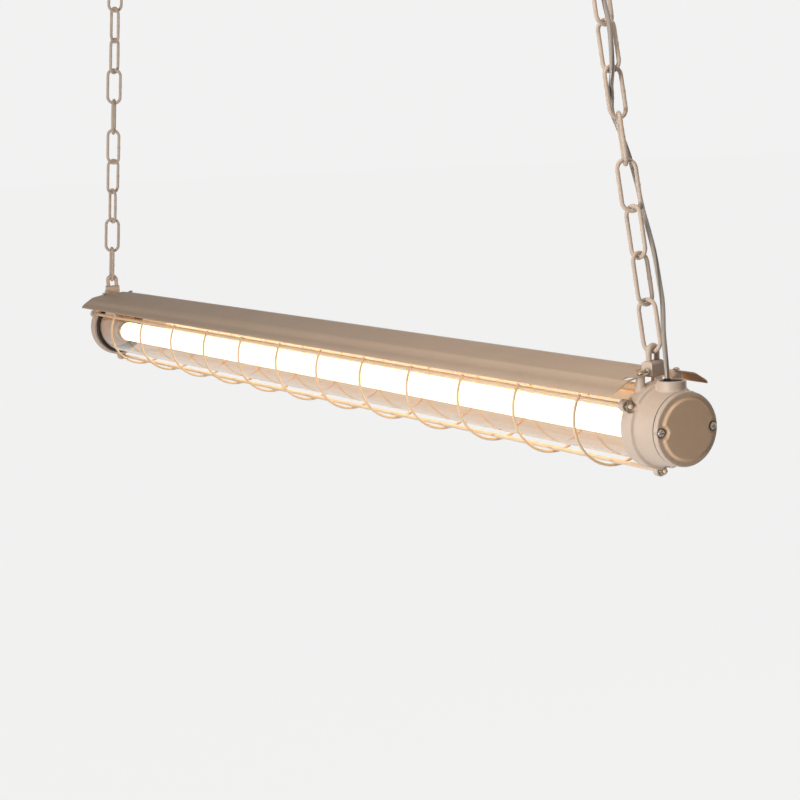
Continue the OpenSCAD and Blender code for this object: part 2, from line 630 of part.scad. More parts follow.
module tube_pins() color("#d9c79a") at_lamp() translate([0, 0, -tube_drop]) for (y = [-1, 1])
    translate([0, y*pin_pitch/2, 0]) {
        rod_x(x_cap_near, x_cap_near + pin_len, pin_d/2);
        rod_x(x_cap_far - pin_len, x_cap_far, pin_d/2);
    }

module light_strip() color("#f2efe8") at_lamp() translate([x_cap_far + 4, -strip_w/2, -tube_drop + strip_z])
    cube([tube_len - 8, strip_w, strip_t]);

// Smooth route through the cable's points, cut into rings with the same tangents at each joint
cable_route = concat(cable_low, [for (i = [1:len(cable_mid) - 1]) cable_mid[i]],
    [for (i = [1:len(cable_high) - 1]) cable_high[i]]);
cable_steps = 2;
cable_last = len(cable_route) - 1;
function near_point(i) = cable_route[min(max(i, 0), cable_last)];
function bend(a, b, c, d, t) = 0.5*(2*b + (c - a)*t + (2*a - 5*b + 4*c - d)*t*t + (3*b - a - 3*c + d)*t*t*t);
function on_route(q) = let(i = min(floor(q/cable_steps), cable_last - 1), t = q/cable_steps - i)
    bend(near_point(i - 1), near_point(i), near_point(i + 1), near_point(i + 2), t);
function unit(v) = v/norm(v);
function heading(q) = unit(on_route(min(q + 0.05, cable_last*cable_steps)) - on_route(max(q - 0.05, 0)));
cable_sides = 10;
function cable_ring(q) = let(t = heading(q), u = unit(cross([0, 1, 0], t)), v = cross(t, u), c = on_route(q))
    [for (j = [0:cable_sides - 1]) let(a = 360*j/cable_sides) c + cable_d/2*(cos(a)*u + sin(a)*v)];

module cable_stretch(i0, i1) {
    q0 = i0*cable_steps;
    n = (i1 - i0)*cable_steps;
    m = cable_sides;
    points = [for (k = [0:n]) each cable_ring(q0 + k)];
    faces = concat([[for (j = [0:m - 1]) j]], [[for (j = [m - 1:-1:0]) n*m + j]],
        [for (k = [0:n - 1], j = [0:m - 1]) let(p = k*m + j, r = k*m + (j + 1)%m) [p, p + m, r]],
        [for (k = [0:n - 1], j = [0:m - 1]) let(p = k*m + j, r = k*m + (j + 1)%m) [r, p + m, r + m]]);
    color("#8b8076") at_lamp() polyhedron(points, faces);
}

cable_a = len(cable_low) - 1;
cable_b = cable_a + len(cable_mid) - 1;
module cable_end() cable_stretch(0, cable_a - 1);
module cable_lower() cable_stretch(cable_a - 1, cable_a);
module cable_chain() cable_stretch(cable_a, cable_b);
module cable_upper() cable_stretch(cable_b, cable_b + 2);
module cable_top() cable_stretch(cable_b + 2, cable_last);

near_ceiling_plate();
near_hook();
far_ceiling_plate();
far_hook();
ceiling_cable_grip();
near_top_link();
near_chain();
near_bottom_link();
far_top_link();
far_chain();
far_bottom_link();
near_housing();
near_cover();
cover_gasket();
cover_screws();
far_cap();
near_seal();
far_seal();
glass_tube();
front_rod();
back_rod();
bottom_rod();
rod_nuts();
rod_washers();
guard_rings();
reflector();
reflector_screws();
near_hanger_block();
near_hanger_loop();
far_hanger_block();
far_hanger_loop();
hanger_screws();
near_holder_plate();
far_holder_plate();
near_lampholder();
far_lampholder();
holder_contacts();
terminal_block();
supply_cores();
holder_leads();
earth_screw();
gland_bush();
diffuser();
near_tube_cap();
far_tube_cap();
tube_pins();
light_strip();
cable_top();
cable_upper();
cable_chain();
cable_lower();
cable_end();
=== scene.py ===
"""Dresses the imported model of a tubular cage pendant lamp: finishes, cast and threaded pieces,
welded chain links, the supply cable beside the near chain, glass, light, camera and stage."""

from math import cos, pi, radians, sin

import bmesh
import bpy
import numpy as np
from mathutils import Matrix, Vector


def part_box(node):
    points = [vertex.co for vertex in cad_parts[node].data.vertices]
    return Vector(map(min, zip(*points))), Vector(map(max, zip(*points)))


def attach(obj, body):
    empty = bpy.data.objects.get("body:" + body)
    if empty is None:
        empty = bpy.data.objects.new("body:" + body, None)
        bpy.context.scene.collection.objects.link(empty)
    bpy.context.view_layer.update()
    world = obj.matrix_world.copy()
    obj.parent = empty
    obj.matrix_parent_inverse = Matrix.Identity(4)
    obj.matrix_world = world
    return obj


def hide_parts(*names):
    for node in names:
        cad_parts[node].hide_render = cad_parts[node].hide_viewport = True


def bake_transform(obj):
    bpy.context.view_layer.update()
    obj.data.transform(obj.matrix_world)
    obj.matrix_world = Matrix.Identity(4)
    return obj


bl_info = {
    "name": "Tubular cage pendant",
    "version": (1, 0, 0),
    "blender": (4, 5, 0),
    "location": "3D View > Sidebar > Pendant",
    "description": "Cast, threaded and welded pieces, glass and finishes of a tubular cage pendant lamp",
    "category": "Object",
}

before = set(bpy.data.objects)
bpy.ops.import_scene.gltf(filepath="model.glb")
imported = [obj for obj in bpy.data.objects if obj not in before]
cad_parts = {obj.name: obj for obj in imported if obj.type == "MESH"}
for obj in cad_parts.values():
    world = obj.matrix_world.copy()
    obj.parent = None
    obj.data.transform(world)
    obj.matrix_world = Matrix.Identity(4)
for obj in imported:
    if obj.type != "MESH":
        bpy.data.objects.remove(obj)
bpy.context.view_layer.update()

MM = 0.001
TURN = 2 * pi

# Depth of the near cover from its gasket to its rim, in millimetres, and the lamp frame in metres: the
# rim's plane and the axis of the glass
COVER_DEPTH = 5.5
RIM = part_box("cover_gasket")[1].x + COVER_DEPTH * MM
AXIS = 0.5 * (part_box("glass_tube")[0].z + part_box("glass_tube")[1].z)
ORIGIN = np.array([RIM, 0.0, AXIS])

# Points of the cable in lamp millimetres, from the gland up to the ceiling grip
CABLE = [
    (-24, -2, 36), (-24, -2, 42), (-25, -2, 54), (-28, -1, 70), (-32.5, 1.5, 84), (-40, 7, 107),
    (-46, 8.8, 125), (-53.5, 9.8, 150), (-60.6, 9.6, 170), (-70.5, 10.6, 190), (-78, 12, 208), (-88, 12, 232),
    (-95.5, 10.5, 250), (-99.5, 7, 264), (-99.5, 1.5, 277), (-95.2, -1.5, 290), (-93, -3.4, 300),
    (-89.5, -4.4, 314), (-90.5, -4, 335), (-94, -3.4, 356), (-97, -6, 376), (-106, -7.5, 420),
    (-110.5, -7.5, 439), (-113, -6, 452), (-113.8, -4, 464), (-113.8, -3, 474), (-113.8, -3, 480),
    (-113.8, -3, 489), (-113.8, -3, 498),
]

# Place of a chain's lower end in the lamp frame, and the turn in degrees of each link about its own
# chain, from the ceiling down
CHAIN_FOOT = (-0.0465, 0.067)
NEAR_TURNS = (90, 0, 92, 20, 88, -30, 72, 8, 98, 22)
FAR_TURNS = (80, 10, 122, 58, -32, 38, 105, 3, 68, -12)

# Height of the lamp tube's axis in lamp millimetres
TUBE_Z = -5

# Head radius and height, shank radius and length of each kind of screw, in millimetres
HANGER_SCREW = (3.4, 2.2, 1.6, 9)
COVER_SCREW = (3.6, 2.4, 2, 18)
SHEET_SCREW = (3.2, 2.0, 1.75, 7)
EARTH_SCREW = (3.4, 2.4, 1.75, 4)

# Camera as solved from the photograph, in metres, and its lens in millimetres
CAMERA_PLACE = (2.06275, -1.08215, -0.21975)
CAMERA_VIEW = (-0.8586, 0.4925, -0.1421)
CAMERA_UP = (-0.1013, 0.1092, 0.9888)
CAMERA_LENS = 91.19

# Place, aim, size, power and colour of each studio lamp
WHITE, WARM = (1.0, 1.0, 1.0), (1.0, 0.90, 0.80)
LAMPS = {
    "front_lamp": ((1.0, -1.62, -0.72), (0.45, 0, -0.5), 0.5, 18.8, WHITE),
    "side_lamp": ((-1.7, -1.9, -0.66), (-0.3, 0, -0.5), 1.2, 9.3, WARM),
    "top_lamp": ((0.72, -0.3, 0.45), (0.6, 0, -0.45), 0.7, 4.7, WARM),
    "back_lamp": ((-0.2, 2.2, -0.3), (0, 0, -0.5), 1.4, 8, WHITE),
}

# Colours that lie under or over a finish, and the soft light from all sides with its strength
BARE_METAL = (0.20, 0.155, 0.12)
# Painted shade in the seats round the cover's screws
SCREW_SEAT_SHADE = (0.07, 0.05, 0.036)
END_GLOW = (0.86, 0.66, 0.40)
SKY, SKY_STRENGTH = (1.0, 0.88, 0.77), 0.145


def metres(label, says, default):
    """Declares one length in metres."""
    return bpy.props.FloatProperty(name=label, description=says, default=default, unit="LENGTH")


def tint(label, says, *default):
    """Declares one scene-linear colour."""
    return bpy.props.FloatVectorProperty(name=label, description=says, default=default, subtype="COLOR", size=3)


class PendantSizes(bpy.types.PropertyGroup):
    """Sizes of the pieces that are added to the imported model."""

    wire: metres("Link wire", "Wire of a chain link", 0.004)
    pitch: metres("Link pitch", "Inner length of a link", 0.042)
    link_width: metres("Link width", "Outer width of a link", 0.0213)
    link_weld: metres("Link weld", "Height of a link's weld", 0.0003)
    lean: bpy.props.FloatProperty(name="Chain lean", description="Lean of the chains from the vertical",
                                  default=radians(11.3), subtype="ANGLE")
    cable: metres("Cable", "Diameter of the supply cable", 0.0046)
    core_lay: metres("Core lay", "Length of one turn of the cores", 0.19)
    thread: metres("Thread pitch", "Pitch of the rod thread", 0.0007)
    thread_length: metres("Thread length", "Threaded length at each rod end", 0.016)
    fold: metres("Fold", "Width of the reflector's rounded folds", 0.0016)
    cast_grid: metres("Casting grid", "Grid on which a casting is drawn", 0.0007)
    cover_rise: metres("Cover rise", "Height of the raised middle of the cover", 0.003)


class PendantColours(bpy.types.PropertyGroup):
    """Colours of the finishes."""

    paint: tint("Paint", "Powder coat", 0.655, 0.530, 0.430)
    sheet: tint("Sheet paint", "Powder coat of the reflector", 0.655, 0.505, 0.385)
    wire: tint("Wire paint", "Powder coat of the guard", 0.82, 0.63, 0.44)
    # Painted shade: the flat of the cover is darkened towards this colour, which is the paint in shadow
    cover: tint("Cover paint", "Powder coat of the end cover", 0.70, 0.487, 0.322)
    rubber: tint("Rubber", "Seals and bush", 0.014, 0.012, 0.011)
    zinc: tint("Zinc", "Screws and nuts", 0.36, 0.305, 0.25)
    brass: tint("Brass", "Pins and contacts", 0.72, 0.50, 0.22)
    cap: tint("Lamp cap", "Aluminium of the lamp caps", 0.62, 0.59, 0.55)
    plastic: tint("Plastic", "Lampholders and terminal block", 0.78, 0.74, 0.66)
    cores: tint("Cores", "Insulation of the cores", 0.17, 0.095, 0.05)
    sheath_pale: tint("Cable crest", "Cable over a core", 0.36, 0.315, 0.27)
    sheath_dark: tint("Cable valley", "Cable between the cores", 0.115, 0.098, 0.084)
    glass: tint("Glass tint", "Tint of one wall of the glass", 0.93, 0.79, 0.65)
    light: tint("Light", "Colour of the lit lamp", 1.0, 0.90, 0.66)
    light_strength: bpy.props.FloatProperty(name="Light strength", description="Strength of the lit lamp", default=4.0)
    backdrop: tint("Backdrop", "What the camera sees behind the lamp", 0.888, 0.888, 0.885)


def sizes():
    return bpy.context.scene.pendant_sizes


def colours():
    return bpy.context.scene.pendant_colours


# Shapes: screws, rods, loops and nuts in lamp millimetres, and links, castings and sheets in metres


def in_row(points):
    """Lamp-frame millimetres to row-frame metres: p/1000 + origin."""
    return np.asarray(points, float) * MM + ORIGIN


def lamp_box(node):
    """Lowest and highest corner of a CAD node in lamp-frame millimetres: 1000 (p - origin)."""
    return (np.array(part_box(node)) - ORIGIN) / MM


def placed(name, data):
    """A new object in the scene."""
    made = bpy.data.objects.new(name, data)
    bpy.context.scene.collection.objects.link(made)
    return made


def beside(*columns):
    """Columns of numbers side by side, each of them a row of numbers or one number."""
    return np.stack(np.broadcast_arrays(*columns), 1)


def around(count):
    """The angles of count points round a circle."""
    return np.linspace(0, TURN, count, endpoint=False)


def many(name, grids, loop=False, attributes=None):
    """One object of closed surfaces in metres, of equal grid size: grids[k, i, j]. Quads lie between
    neighbouring rows i and columns j: (i, j), (i, j+1), (i+1, j+1), (i+1, j). The last ring meets the
    first, or both end rings are closed by a fan to their mean point, a point of its own. Doubles are
    merged and every face is turned outwards."""
    count, rows, columns = grids.shape[:3]
    left = np.arange(rows * columns).reshape(rows, columns)
    left = np.vstack([left, left[:1]]) if loop else left
    right = np.roll(left, -1, 1)
    shapes = [np.stack([left[:-1], right[:-1], right[1:], left[1:]], -1).reshape(-1, 4)]
    points = grids.reshape(count, -1, 3)
    if not loop:
        points = np.concatenate([points, grids[:, 0].mean(1)[:, None], grids[:, -1].mean(1)[:, None]], 1)
        shapes += [beside(rows * columns, right[0], left[0]), beside(rows * columns + 1, left[-1], right[-1])]
    faces = [face for n in range(count) for shape in shapes for face in (shape + n * points.shape[1]).tolist()]
    mesh = bpy.data.meshes.new(name)
    mesh.from_pydata(points.reshape(-1, 3).tolist(), [], faces)
    for key, values in (attributes or {}).items():
        mesh.attributes.new(key, "FLOAT", "POINT").data.foreach_set("value", values.astype(np.float32))
    mesh.update()
    shell = bmesh.new()
    shell.from_mesh(mesh)
    bmesh.ops.remove_doubles(shell, verts=shell.verts, dist=2e-6)
    bmesh.ops.recalc_face_normals(shell, faces=shell.faces)
    shell.to_mesh(mesh)
    shell.free()
    mesh.shade_smooth()
    return placed(name, mesh)


def rounded(corners, steps=5):
    """Line through corners (radius, distance, cut) whose corners are rounded: for corner B with cut c it
    follows (1-t)^2 A + 2t(1-t) B + t^2 C from A, c before B, to C, c after it."""
    p, c = np.split(np.asarray(corners, float), [2], axis=1)
    unit = lambda v: v / np.maximum(np.linalg.norm(v, axis=1, keepdims=True), 1e-9)
    a = p + c * unit(np.vstack([p[:1], p[:-1]]) - p)
    b = p + c * unit(np.vstack([p[1:], p[-1:]]) - p)
    t = np.linspace(0, 1, steps)[None, :, None]
    line = (1 - t) ** 2 * a[:, None] + 2 * t * (1 - t) * p[:, None] + t * t * b[:, None]
    line = line.reshape(-1, 2)
    keep = np.append(True, np.linalg.norm(np.diff(line, axis=0), axis=1) > 1e-4)
    return line[keep]


def revolved(profile, columns, centre=(0, 0, 0), direction=(1, 0, 0), radius=None, shift=None):
    """Rings of a profile of (radius, distance along the axis): centre + x a + r cos(t) u + r sin(t) v.
    radius and shift are optional functions of (r, x, t) that change r and x."""
    a = np.asarray(direction, float) / np.linalg.norm(direction)
    u = np.cross((0, 0, 1) if abs(a[2]) < 0.9 else (0, 1, 0), a)
    u /= np.linalg.norm(u)
    v = np.cross(a, u)
    t = around(columns)[None, :]
    r, x = profile[:, :1], profile[:, 1:2]
    R = (r if radius is None else radius(r, x, t)) + 0 * t
    X = (x if shift is None else x + shift(R, x, t)) + 0 * t
    across = (R * np.cos(t))[..., None] * u + (R * np.sin(t))[..., None] * v
    return centre + X[..., None] * a + across


def step(x, width):
    """Smooth step from 0 to 1 round x = 0: half of 1 + tanh(x / width)."""
    return 0.5 * (1 + np.tanh(x / width))


def thread_wave(x, t, pitch):
    """Triangle wave from 0 to 1 that climbs one pitch a turn: |2 frac(x / pitch - t / turn) - 1|."""
    return np.abs(2 * np.mod(x / pitch - t / TURN, 1) - 1)


def hexagon(corner, t):
    """Radius of a hexagon at angle t: corner cos(30) / cos(t mod 60 - 30), in degrees."""
    return corner * cos(pi / 6) / np.cos(np.mod(t, pi / 3) - pi / 6)


def cross_screw(at, direction, head_r, head_h, shank_r, shank):
    """Pan head screw: the head is h (1 - 0.65 (r/R)^3) high, less a recess of two crossed slots; the
    shank's radius falls by a thread that climbs one pitch a turn."""
    slot_half, slot_reach, slot_depth = 0.136 * head_r, 0.62 * head_r, 0.62 * head_h
    pitch, thread_depth = 0.8, 0.14 * shank_r
    r = head_r * np.linspace(0.03, 1, 20) ** 0.9
    head = beside(r, 0.35 * head_h + 0.65 * head_h * (1 - (r / head_r) ** 3))
    edge = np.array([[head_r, 0.2 * head_h], [head_r * 0.96, 0.0], [shank_r * 1.02, 0.0]])
    stem = beside(shank_r, -np.linspace(0.05, shank, max(int(shank * 5), 12)))
    profile = np.vstack([head, edge, stem, [[shank_r * 0.6, -shank - 0.01]]])
    row = np.arange(len(profile))[:, None]
    on_head = row < len(head)
    on_stem = (row > len(head) + len(edge)) & (row < len(profile) - 1)

    def recess(R, x, t):
        y, z = R * np.cos(t), R * np.sin(t)
        slot = lambda p, q: step(slot_half - np.abs(p), 0.09) * step(slot_reach - np.abs(q), 0.16)
        return -slot_depth * np.maximum(slot(y, z), slot(z, y)) * on_head

    def thread(r, x, t):
        return r - thread_depth * thread_wave(x, t, pitch) * on_stem

    return revolved(profile, 56, at, direction, thread, recess)


def threaded_rod(y, z, x0, x1, r, pitch, length):
    """Tie rod of radius r with tapered tips, less 0.11 r of a triangle wave that climbs one pitch a turn
    within length of each end."""
    fine = np.arange(0, length, pitch / 5)
    x = np.concatenate([x0 + fine, np.linspace(x0 + length, x1 - length, 60), x1 - fine[::-1]])
    from_end = np.minimum(x - x0, x1 - x)
    profile = beside(r * np.minimum(1, 0.72 + from_end * 0.5), x)
    near = (from_end < length)[:, None]
    cut = lambda r_, x_, t: r_ - 0.11 * r * near * thread_wave(x_, t, pitch)
    return revolved(profile, 20, (0, y, z), radius=cut)


def threaded_loop(top, foot, d, r):
    """U shaped bolt: legs r from the middle from z = foot, joined by a half circle
    whose crown ends at z = top. On the legs the radius is d/2 less 0.3 of a triangle wave."""
    pitch, sides = 1.0, 28
    shoulder = top - d / 2 - r
    z = np.arange(foot, shoulder, 0.2)
    a = np.linspace(0, pi, 40)
    arch = beside(0, -r * np.cos(a), shoulder + r * np.sin(a))
    line = np.vstack([beside(0, -r, z), arch, beside(0, r, z[::-1])])
    height = line[:, 2:3]
    turn = around(sides)[None, :]
    cut = (height < shoulder - pitch) * 0.3 * thread_wave(height, turn, pitch)
    return swept(line, d / 2 - cut, sides, (1, 0, 0))


def hex_nut(at, thick, corner, hole_r):
    """Nut along X: its radius is the lesser of the hexagon's and of a cone that
    rises 1.7 times the distance from each face."""
    chamfer, cone_r = 0.3, 0.97 * corner * cos(pi / 6)
    outer = beside(corner, thick * np.array([0.0, 0.06, 0.16, 0.3, 0.7, 0.84, 0.94, 1.0]))
    inner = [(hole_r + chamfer, thick), (hole_r, thick - chamfer), (hole_r, chamfer), (hole_r + chamfer, 0)]
    profile = np.vstack([outer, inner])
    on_outer = (np.arange(len(profile)) < len(outer))[:, None]

    def six(r, x, t):
        cone = cone_r + 1.7 * np.minimum(x, thick - x)
        return np.where(on_outer, np.minimum(hexagon(corner, t), cone), r)

    return revolved(profile, 72, at, radius=six)


def swept(line, radius, sides, normal=(0, 1, 0), closed=False):
    """Rings round a line of points: p + r (cos(a) u + sin(a) v), where u is a fixed direction crossed
    with the tangent and v is the tangent crossed with u."""
    p = np.asarray(line, float)
    t = np.roll(p, -1, 0) - np.roll(p, 1, 0) if closed else np.gradient(p, axis=0)
    t /= np.linalg.norm(t, axis=1, keepdims=True)
    u = np.cross(normal, t)
    u /= np.linalg.norm(u, axis=1, keepdims=True)
    v = np.cross(t, u)
    a = around(sides)
    r = np.broadcast_to(radius, (len(p), sides))
    return p[:, None] + (r * np.cos(a))[..., None] * u[:, None] + (r * np.sin(a))[..., None] * v[:, None]


def smooth_route(points, steps):
    """Curve through points: between b and c it is half of 2b + (c-a)t + (2a-5b+4c-d)t^2 +
    (3b-a-3c+d)t^3, where a and d are the points before and after."""
    p = np.asarray(points, float)
    ends = (np.vstack([p[:1], p[:-2]]), p[:-1], p[1:], np.vstack([p[2:], p[-1:]]))
    t = (np.arange(steps) / steps)[None, :, None]
    a, b, c, d = (q[:, None] for q in ends)
    line = 0.5 * (2 * b + (c - a) * t + (2 * a - 5 * b + 4 * c - d) * t**2 + (3 * b - a - 3 * c + d) * t**3)
    return np.vstack([line.reshape(-1, 3), p[-1:]])


def turned_about(axis, angle):
    """Rotation matrix about X, as an array; its rows and columns are rolled on for Y and Z."""
    c, s = cos(angle), sin(angle)
    return np.roll([[1, 0, 0], [0, c, -s], [0, s, c]], "XYZ".index(axis), (0, 1))


def link_rings(seed):
    """One welded link round its own middle, in metres. The wire's middle runs along two straight legs
    joined by two half circles; its radius grows by a bell at the weld in the middle of one leg, and by
    small waves of the coating."""
    s = sizes()
    play, weld_width, coat = 0.0002, 0.0013, 0.00003
    r = (s.link_width - s.wire) / 2
    leg = (s.pitch + s.wire + play - 2 * r) / 2
    half = 2 * leg + pi * r
    q = np.linspace(0, 2 * half, 112, endpoint=False)
    side = np.where(q < half, 1.0, -1.0)
    along = np.mod(q, half)
    turn = np.clip((along - 2 * leg) / r, 0, pi)
    x = side * r * np.cos(turn)
    z = side * (np.minimum(along, 2 * leg) - leg + r * np.sin(turn))
    bell = s.link_weld * np.exp(-(((q - leg) / weld_width) ** 2))
    a = TURN * q / (2 * half)
    waves = np.sin(7 * a + seed) + np.sin(17 * a + 2.3 * seed)
    radius = s.wire / 2 + bell + coat * (waves - 1)
    return swept(beside(x, 0, z), radius[:, None], 14, closed=True)


def chain_rings(side, turns, first, last):
    """Links first to last of one chain, each turned about its chain, moved along it and leaned with it."""
    s = sizes()
    foot = np.array([side * (RIM + CHAIN_FOOT[0]), 0.0, AXIS + CHAIN_FOOT[1]])
    lean = turned_about("Y", -side * s.lean)
    grids = []
    for k in range(first, last + 1):
        up = (0, 0, (len(turns) - 0.5 - k) * s.pitch)
        link = link_rings(k + 3 * side) @ turned_about("Z", radians(turns[k])).T + up
        grids.append(link @ lean.T + foot)
    return np.stack(grids)


def copied(name, node):
    """A copy of a CAD node's mesh with its doubles merged and without its stored normals."""
    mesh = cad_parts[node].data.copy()
    mesh.name = name
    shell = bmesh.new()
    shell.from_mesh(mesh)
    bmesh.ops.remove_doubles(shell, verts=shell.verts, dist=1e-6)
    shell.to_mesh(mesh)
    shell.free()
    mesh.materials.clear()
    if "custom_normal" in mesh.attributes:
        mesh.attributes.remove(mesh.attributes["custom_normal"])
    return placed(name, mesh)


def applied(piece):
    """Replaces a piece's mesh by what its modifiers make of it."""
    graph = bpy.context.evaluated_depsgraph_get()
    mesh = bpy.data.meshes.new_from_object(piece.evaluated_get(graph))
    piece.modifiers.clear()
    piece.data = mesh
    return piece


def cast_shape(name, node, grid, rounds):
    """A casting: the CAD shape drawn again on a fine grid, after which each point moves towards the mean
    of its neighbours, so that every edge and root gets a small round."""
    piece = copied(name, node)
    again = piece.modifiers.new("grid", "REMESH")
    again.mode, again.voxel_size, again.adaptivity = "VOXEL", grid, 0
    soft = piece.modifiers.new("round", "SMOOTH")
    soft.factor, soft.iterations = 0.5, rounds
    applied(piece)
    piece.data.shade_smooth()
    return piece


def folded_sheet(name, node, fold):
    """A folded sheet: on a copy of the CAD sheet, long edges that turn by 12 to 35 degrees are folds and
    get a wide round, and sharper ones, where it was cut, a narrow one."""
    flat_turn, least_turn, most_turn, cut_turn = (radians(angle) for angle in (1, 12, 35, 60))
    fold_length, cut_round = 0.2, 0.00022
    piece = copied(name, node)
    shell = bmesh.new()
    shell.from_mesh(piece.data)
    bmesh.ops.dissolve_limit(shell, angle_limit=flat_turn, verts=shell.verts, edges=shell.edges)
    long = [e for e in shell.edges if e.calc_length() > fold_length]
    folds = [e for e in long if least_turn < e.calc_face_angle(0.0) < most_turn]
    bmesh.ops.bevel(shell, geom=folds, offset=fold, segments=5, profile=0.5, affect="EDGES", clamp_overlap=True)
    cuts = [e for e in shell.edges if e.calc_face_angle(0.0) > cut_turn]
    bmesh.ops.bevel(shell, geom=cuts, offset=cut_round, segments=2, profile=0.6, affect="EDGES", clamp_overlap=True)
    shell.to_mesh(piece.data)
    shell.free()
    piece.data.shade_smooth()
    piece.modifiers.new("faces", "WEIGHTED_NORMAL").keep_sharp = True
    return applied(piece)


# Finishes


def arithmetic(operation, swapped=False):
    """An operator of the Field class, as one Math node."""
    return lambda field, other: field.maths(operation, *((other, field) if swapped else (field, other)))


class Field:
    """A value that varies over a surface: the output socket of a node. Arithmetic adds Math nodes."""

    def __init__(self, nodes, socket):
        self.nodes, self.socket = nodes, socket

    def maths(self, operation, a, b=0.0, clamp=False):
        return self.nodes.node("Math", {"operation": operation, "use_clamp": clamp}, {0: a, 1: b})

    __add__, __radd__ = arithmetic("ADD"), arithmetic("ADD", True)
    __sub__, __rsub__ = arithmetic("SUBTRACT"), arithmetic("SUBTRACT", True)
    __mul__, __truediv__, __pow__ = arithmetic("MULTIPLY"), arithmetic("DIVIDE"), arithmetic("POWER")

    def __abs__(self):
        return self.maths("ABSOLUTE", self)

    def within(self):
        """The value held between 0 and 1."""
        return self.maths("ADD", self, 0.0, True)

    def above(self, low, high):
        """0 at low, 1 at high and beyond, straight in between."""
        return ((self - low) / (high - low)).within()


class Nodes:
    """A node tree of a finish or of the world."""

    def __init__(self, tree, output):
        tree.nodes.clear()
        self.tree, self.output = tree, tree.nodes.new(f"ShaderNode{output}")

    @staticmethod
    def colour(value):
        return (*value, 1.0) if np.size(value) == 3 else value

    def node(self, kind, settings=None, values=None, out=0):
        """Adds a shader node: its settings first, then the values or links of its sockets. Gives its
        output, or several as a list."""
        made = self.tree.nodes.new(f"ShaderNode{kind}")
        for key, value in (settings or {}).items():
            setattr(made, key, value)
        for key, value in (values or {}).items():
            if isinstance(value, Field):
                self.tree.links.new(value.socket, made.inputs[key])
            elif made.inputs[key].type == "VECTOR":
                made.inputs[key].default_value = value
            else:
                made.inputs[key].default_value = self.colour(value)
        if isinstance(out, (list, tuple)):
            return [Field(self, made.outputs[o]) for o in out]
        return Field(self, made.outputs[out])

    def rays(self, *kinds):
        """1 on rays of these kinds and 0 on others."""
        first, *others = self.node("LightPath", out=[f"Is {kind} Ray" for kind in kinds])
        return sum(others, first).within()

    def show(self, shown):
        """Makes a shader what is seen."""
        self.tree.links.new(shown.socket, self.output.inputs["Surface"])


class Finish(Nodes):
    """One procedural finish: a Principled shader, its constants, and the nodes that vary it."""

    def __init__(self, name, **constants):
        self.material = bpy.data.materials.new(name)
        self.material.use_nodes = True
        super().__init__(self.material.node_tree, "OutputMaterial")
        self.surface = self.node("BsdfPrincipled")
        self.shader = self.surface.socket.node
        self.show(self.surface)
        for key, value in constants.items():
            self.shader.inputs[key.replace("_", " ")].default_value = self.colour(value)

    def feed(self, **fields):
        """Links fields to the shader's own sockets."""
        for key, field in fields.items():
            self.tree.links.new(field.socket, self.shader.inputs[key.replace("_", " ")])
        return self

    def place(self, stretch=(1, 1, 1)):
        """Object coordinates, stretched."""
        here = self.node("TexCoord", out="Object")
        return self.node("Mapping", {}, {"Vector": here, "Scale": stretch})

    def places(self, *axes):
        """Object coordinates, one by one."""
        here = self.node("TexCoord", out="Object")
        return self.node("SeparateXYZ", {}, {0: here}, out=axes)

    def noise(self, scale, detail=3.0, rough=0.5, stretch=(1, 1, 1)):
        values = {"Vector": self.place(stretch), "Scale": scale, "Detail": detail, "Roughness": rough}
        return self.node("TexNoise", {}, values)

    def specks(self, scale, size):
        """1 inside small round spots of size, a share of their spacing, and 0 elsewhere."""
        values = {"Vector": self.place(), "Scale": scale, "Randomness": 1.0}
        return 1 - self.node("TexVoronoi", {"feature": "F1"}, values, out="Distance").above(size * 0.6, size)

    def blend(self, a, b, factor, kind="MIX"):
        """Colour a where factor is 0 and colour b, or another mix of the two, where it is 1."""
        return self.node("Mix", {"data_type": "RGBA", "blend_type": kind}, {0: factor, 6: a, 7: b}, out=2)

    def tones(self, colour, low, high, factor):
        """The colour times low where factor is 0, and times high where it is 1."""
        return self.blend(shade(colour, low), shade(colour, high), factor)

    def bump(self, height, depth=0.00002, strength=0.5, **over):
        return self.node("Bump", {}, {"Strength": strength, "Distance": depth, "Height": height, **over})

    def soft_edges(self, radius):
        """The surface's normal with its edges rounded by radius, for a bump to lie on."""
        return {"Normal": self.node("Bevel", {"samples": 4}, {"Radius": radius})}


def shade(colour, amount):
    """A colour made lighter or darker."""
    return tuple(min(c * amount, 1.0) for c in colour)


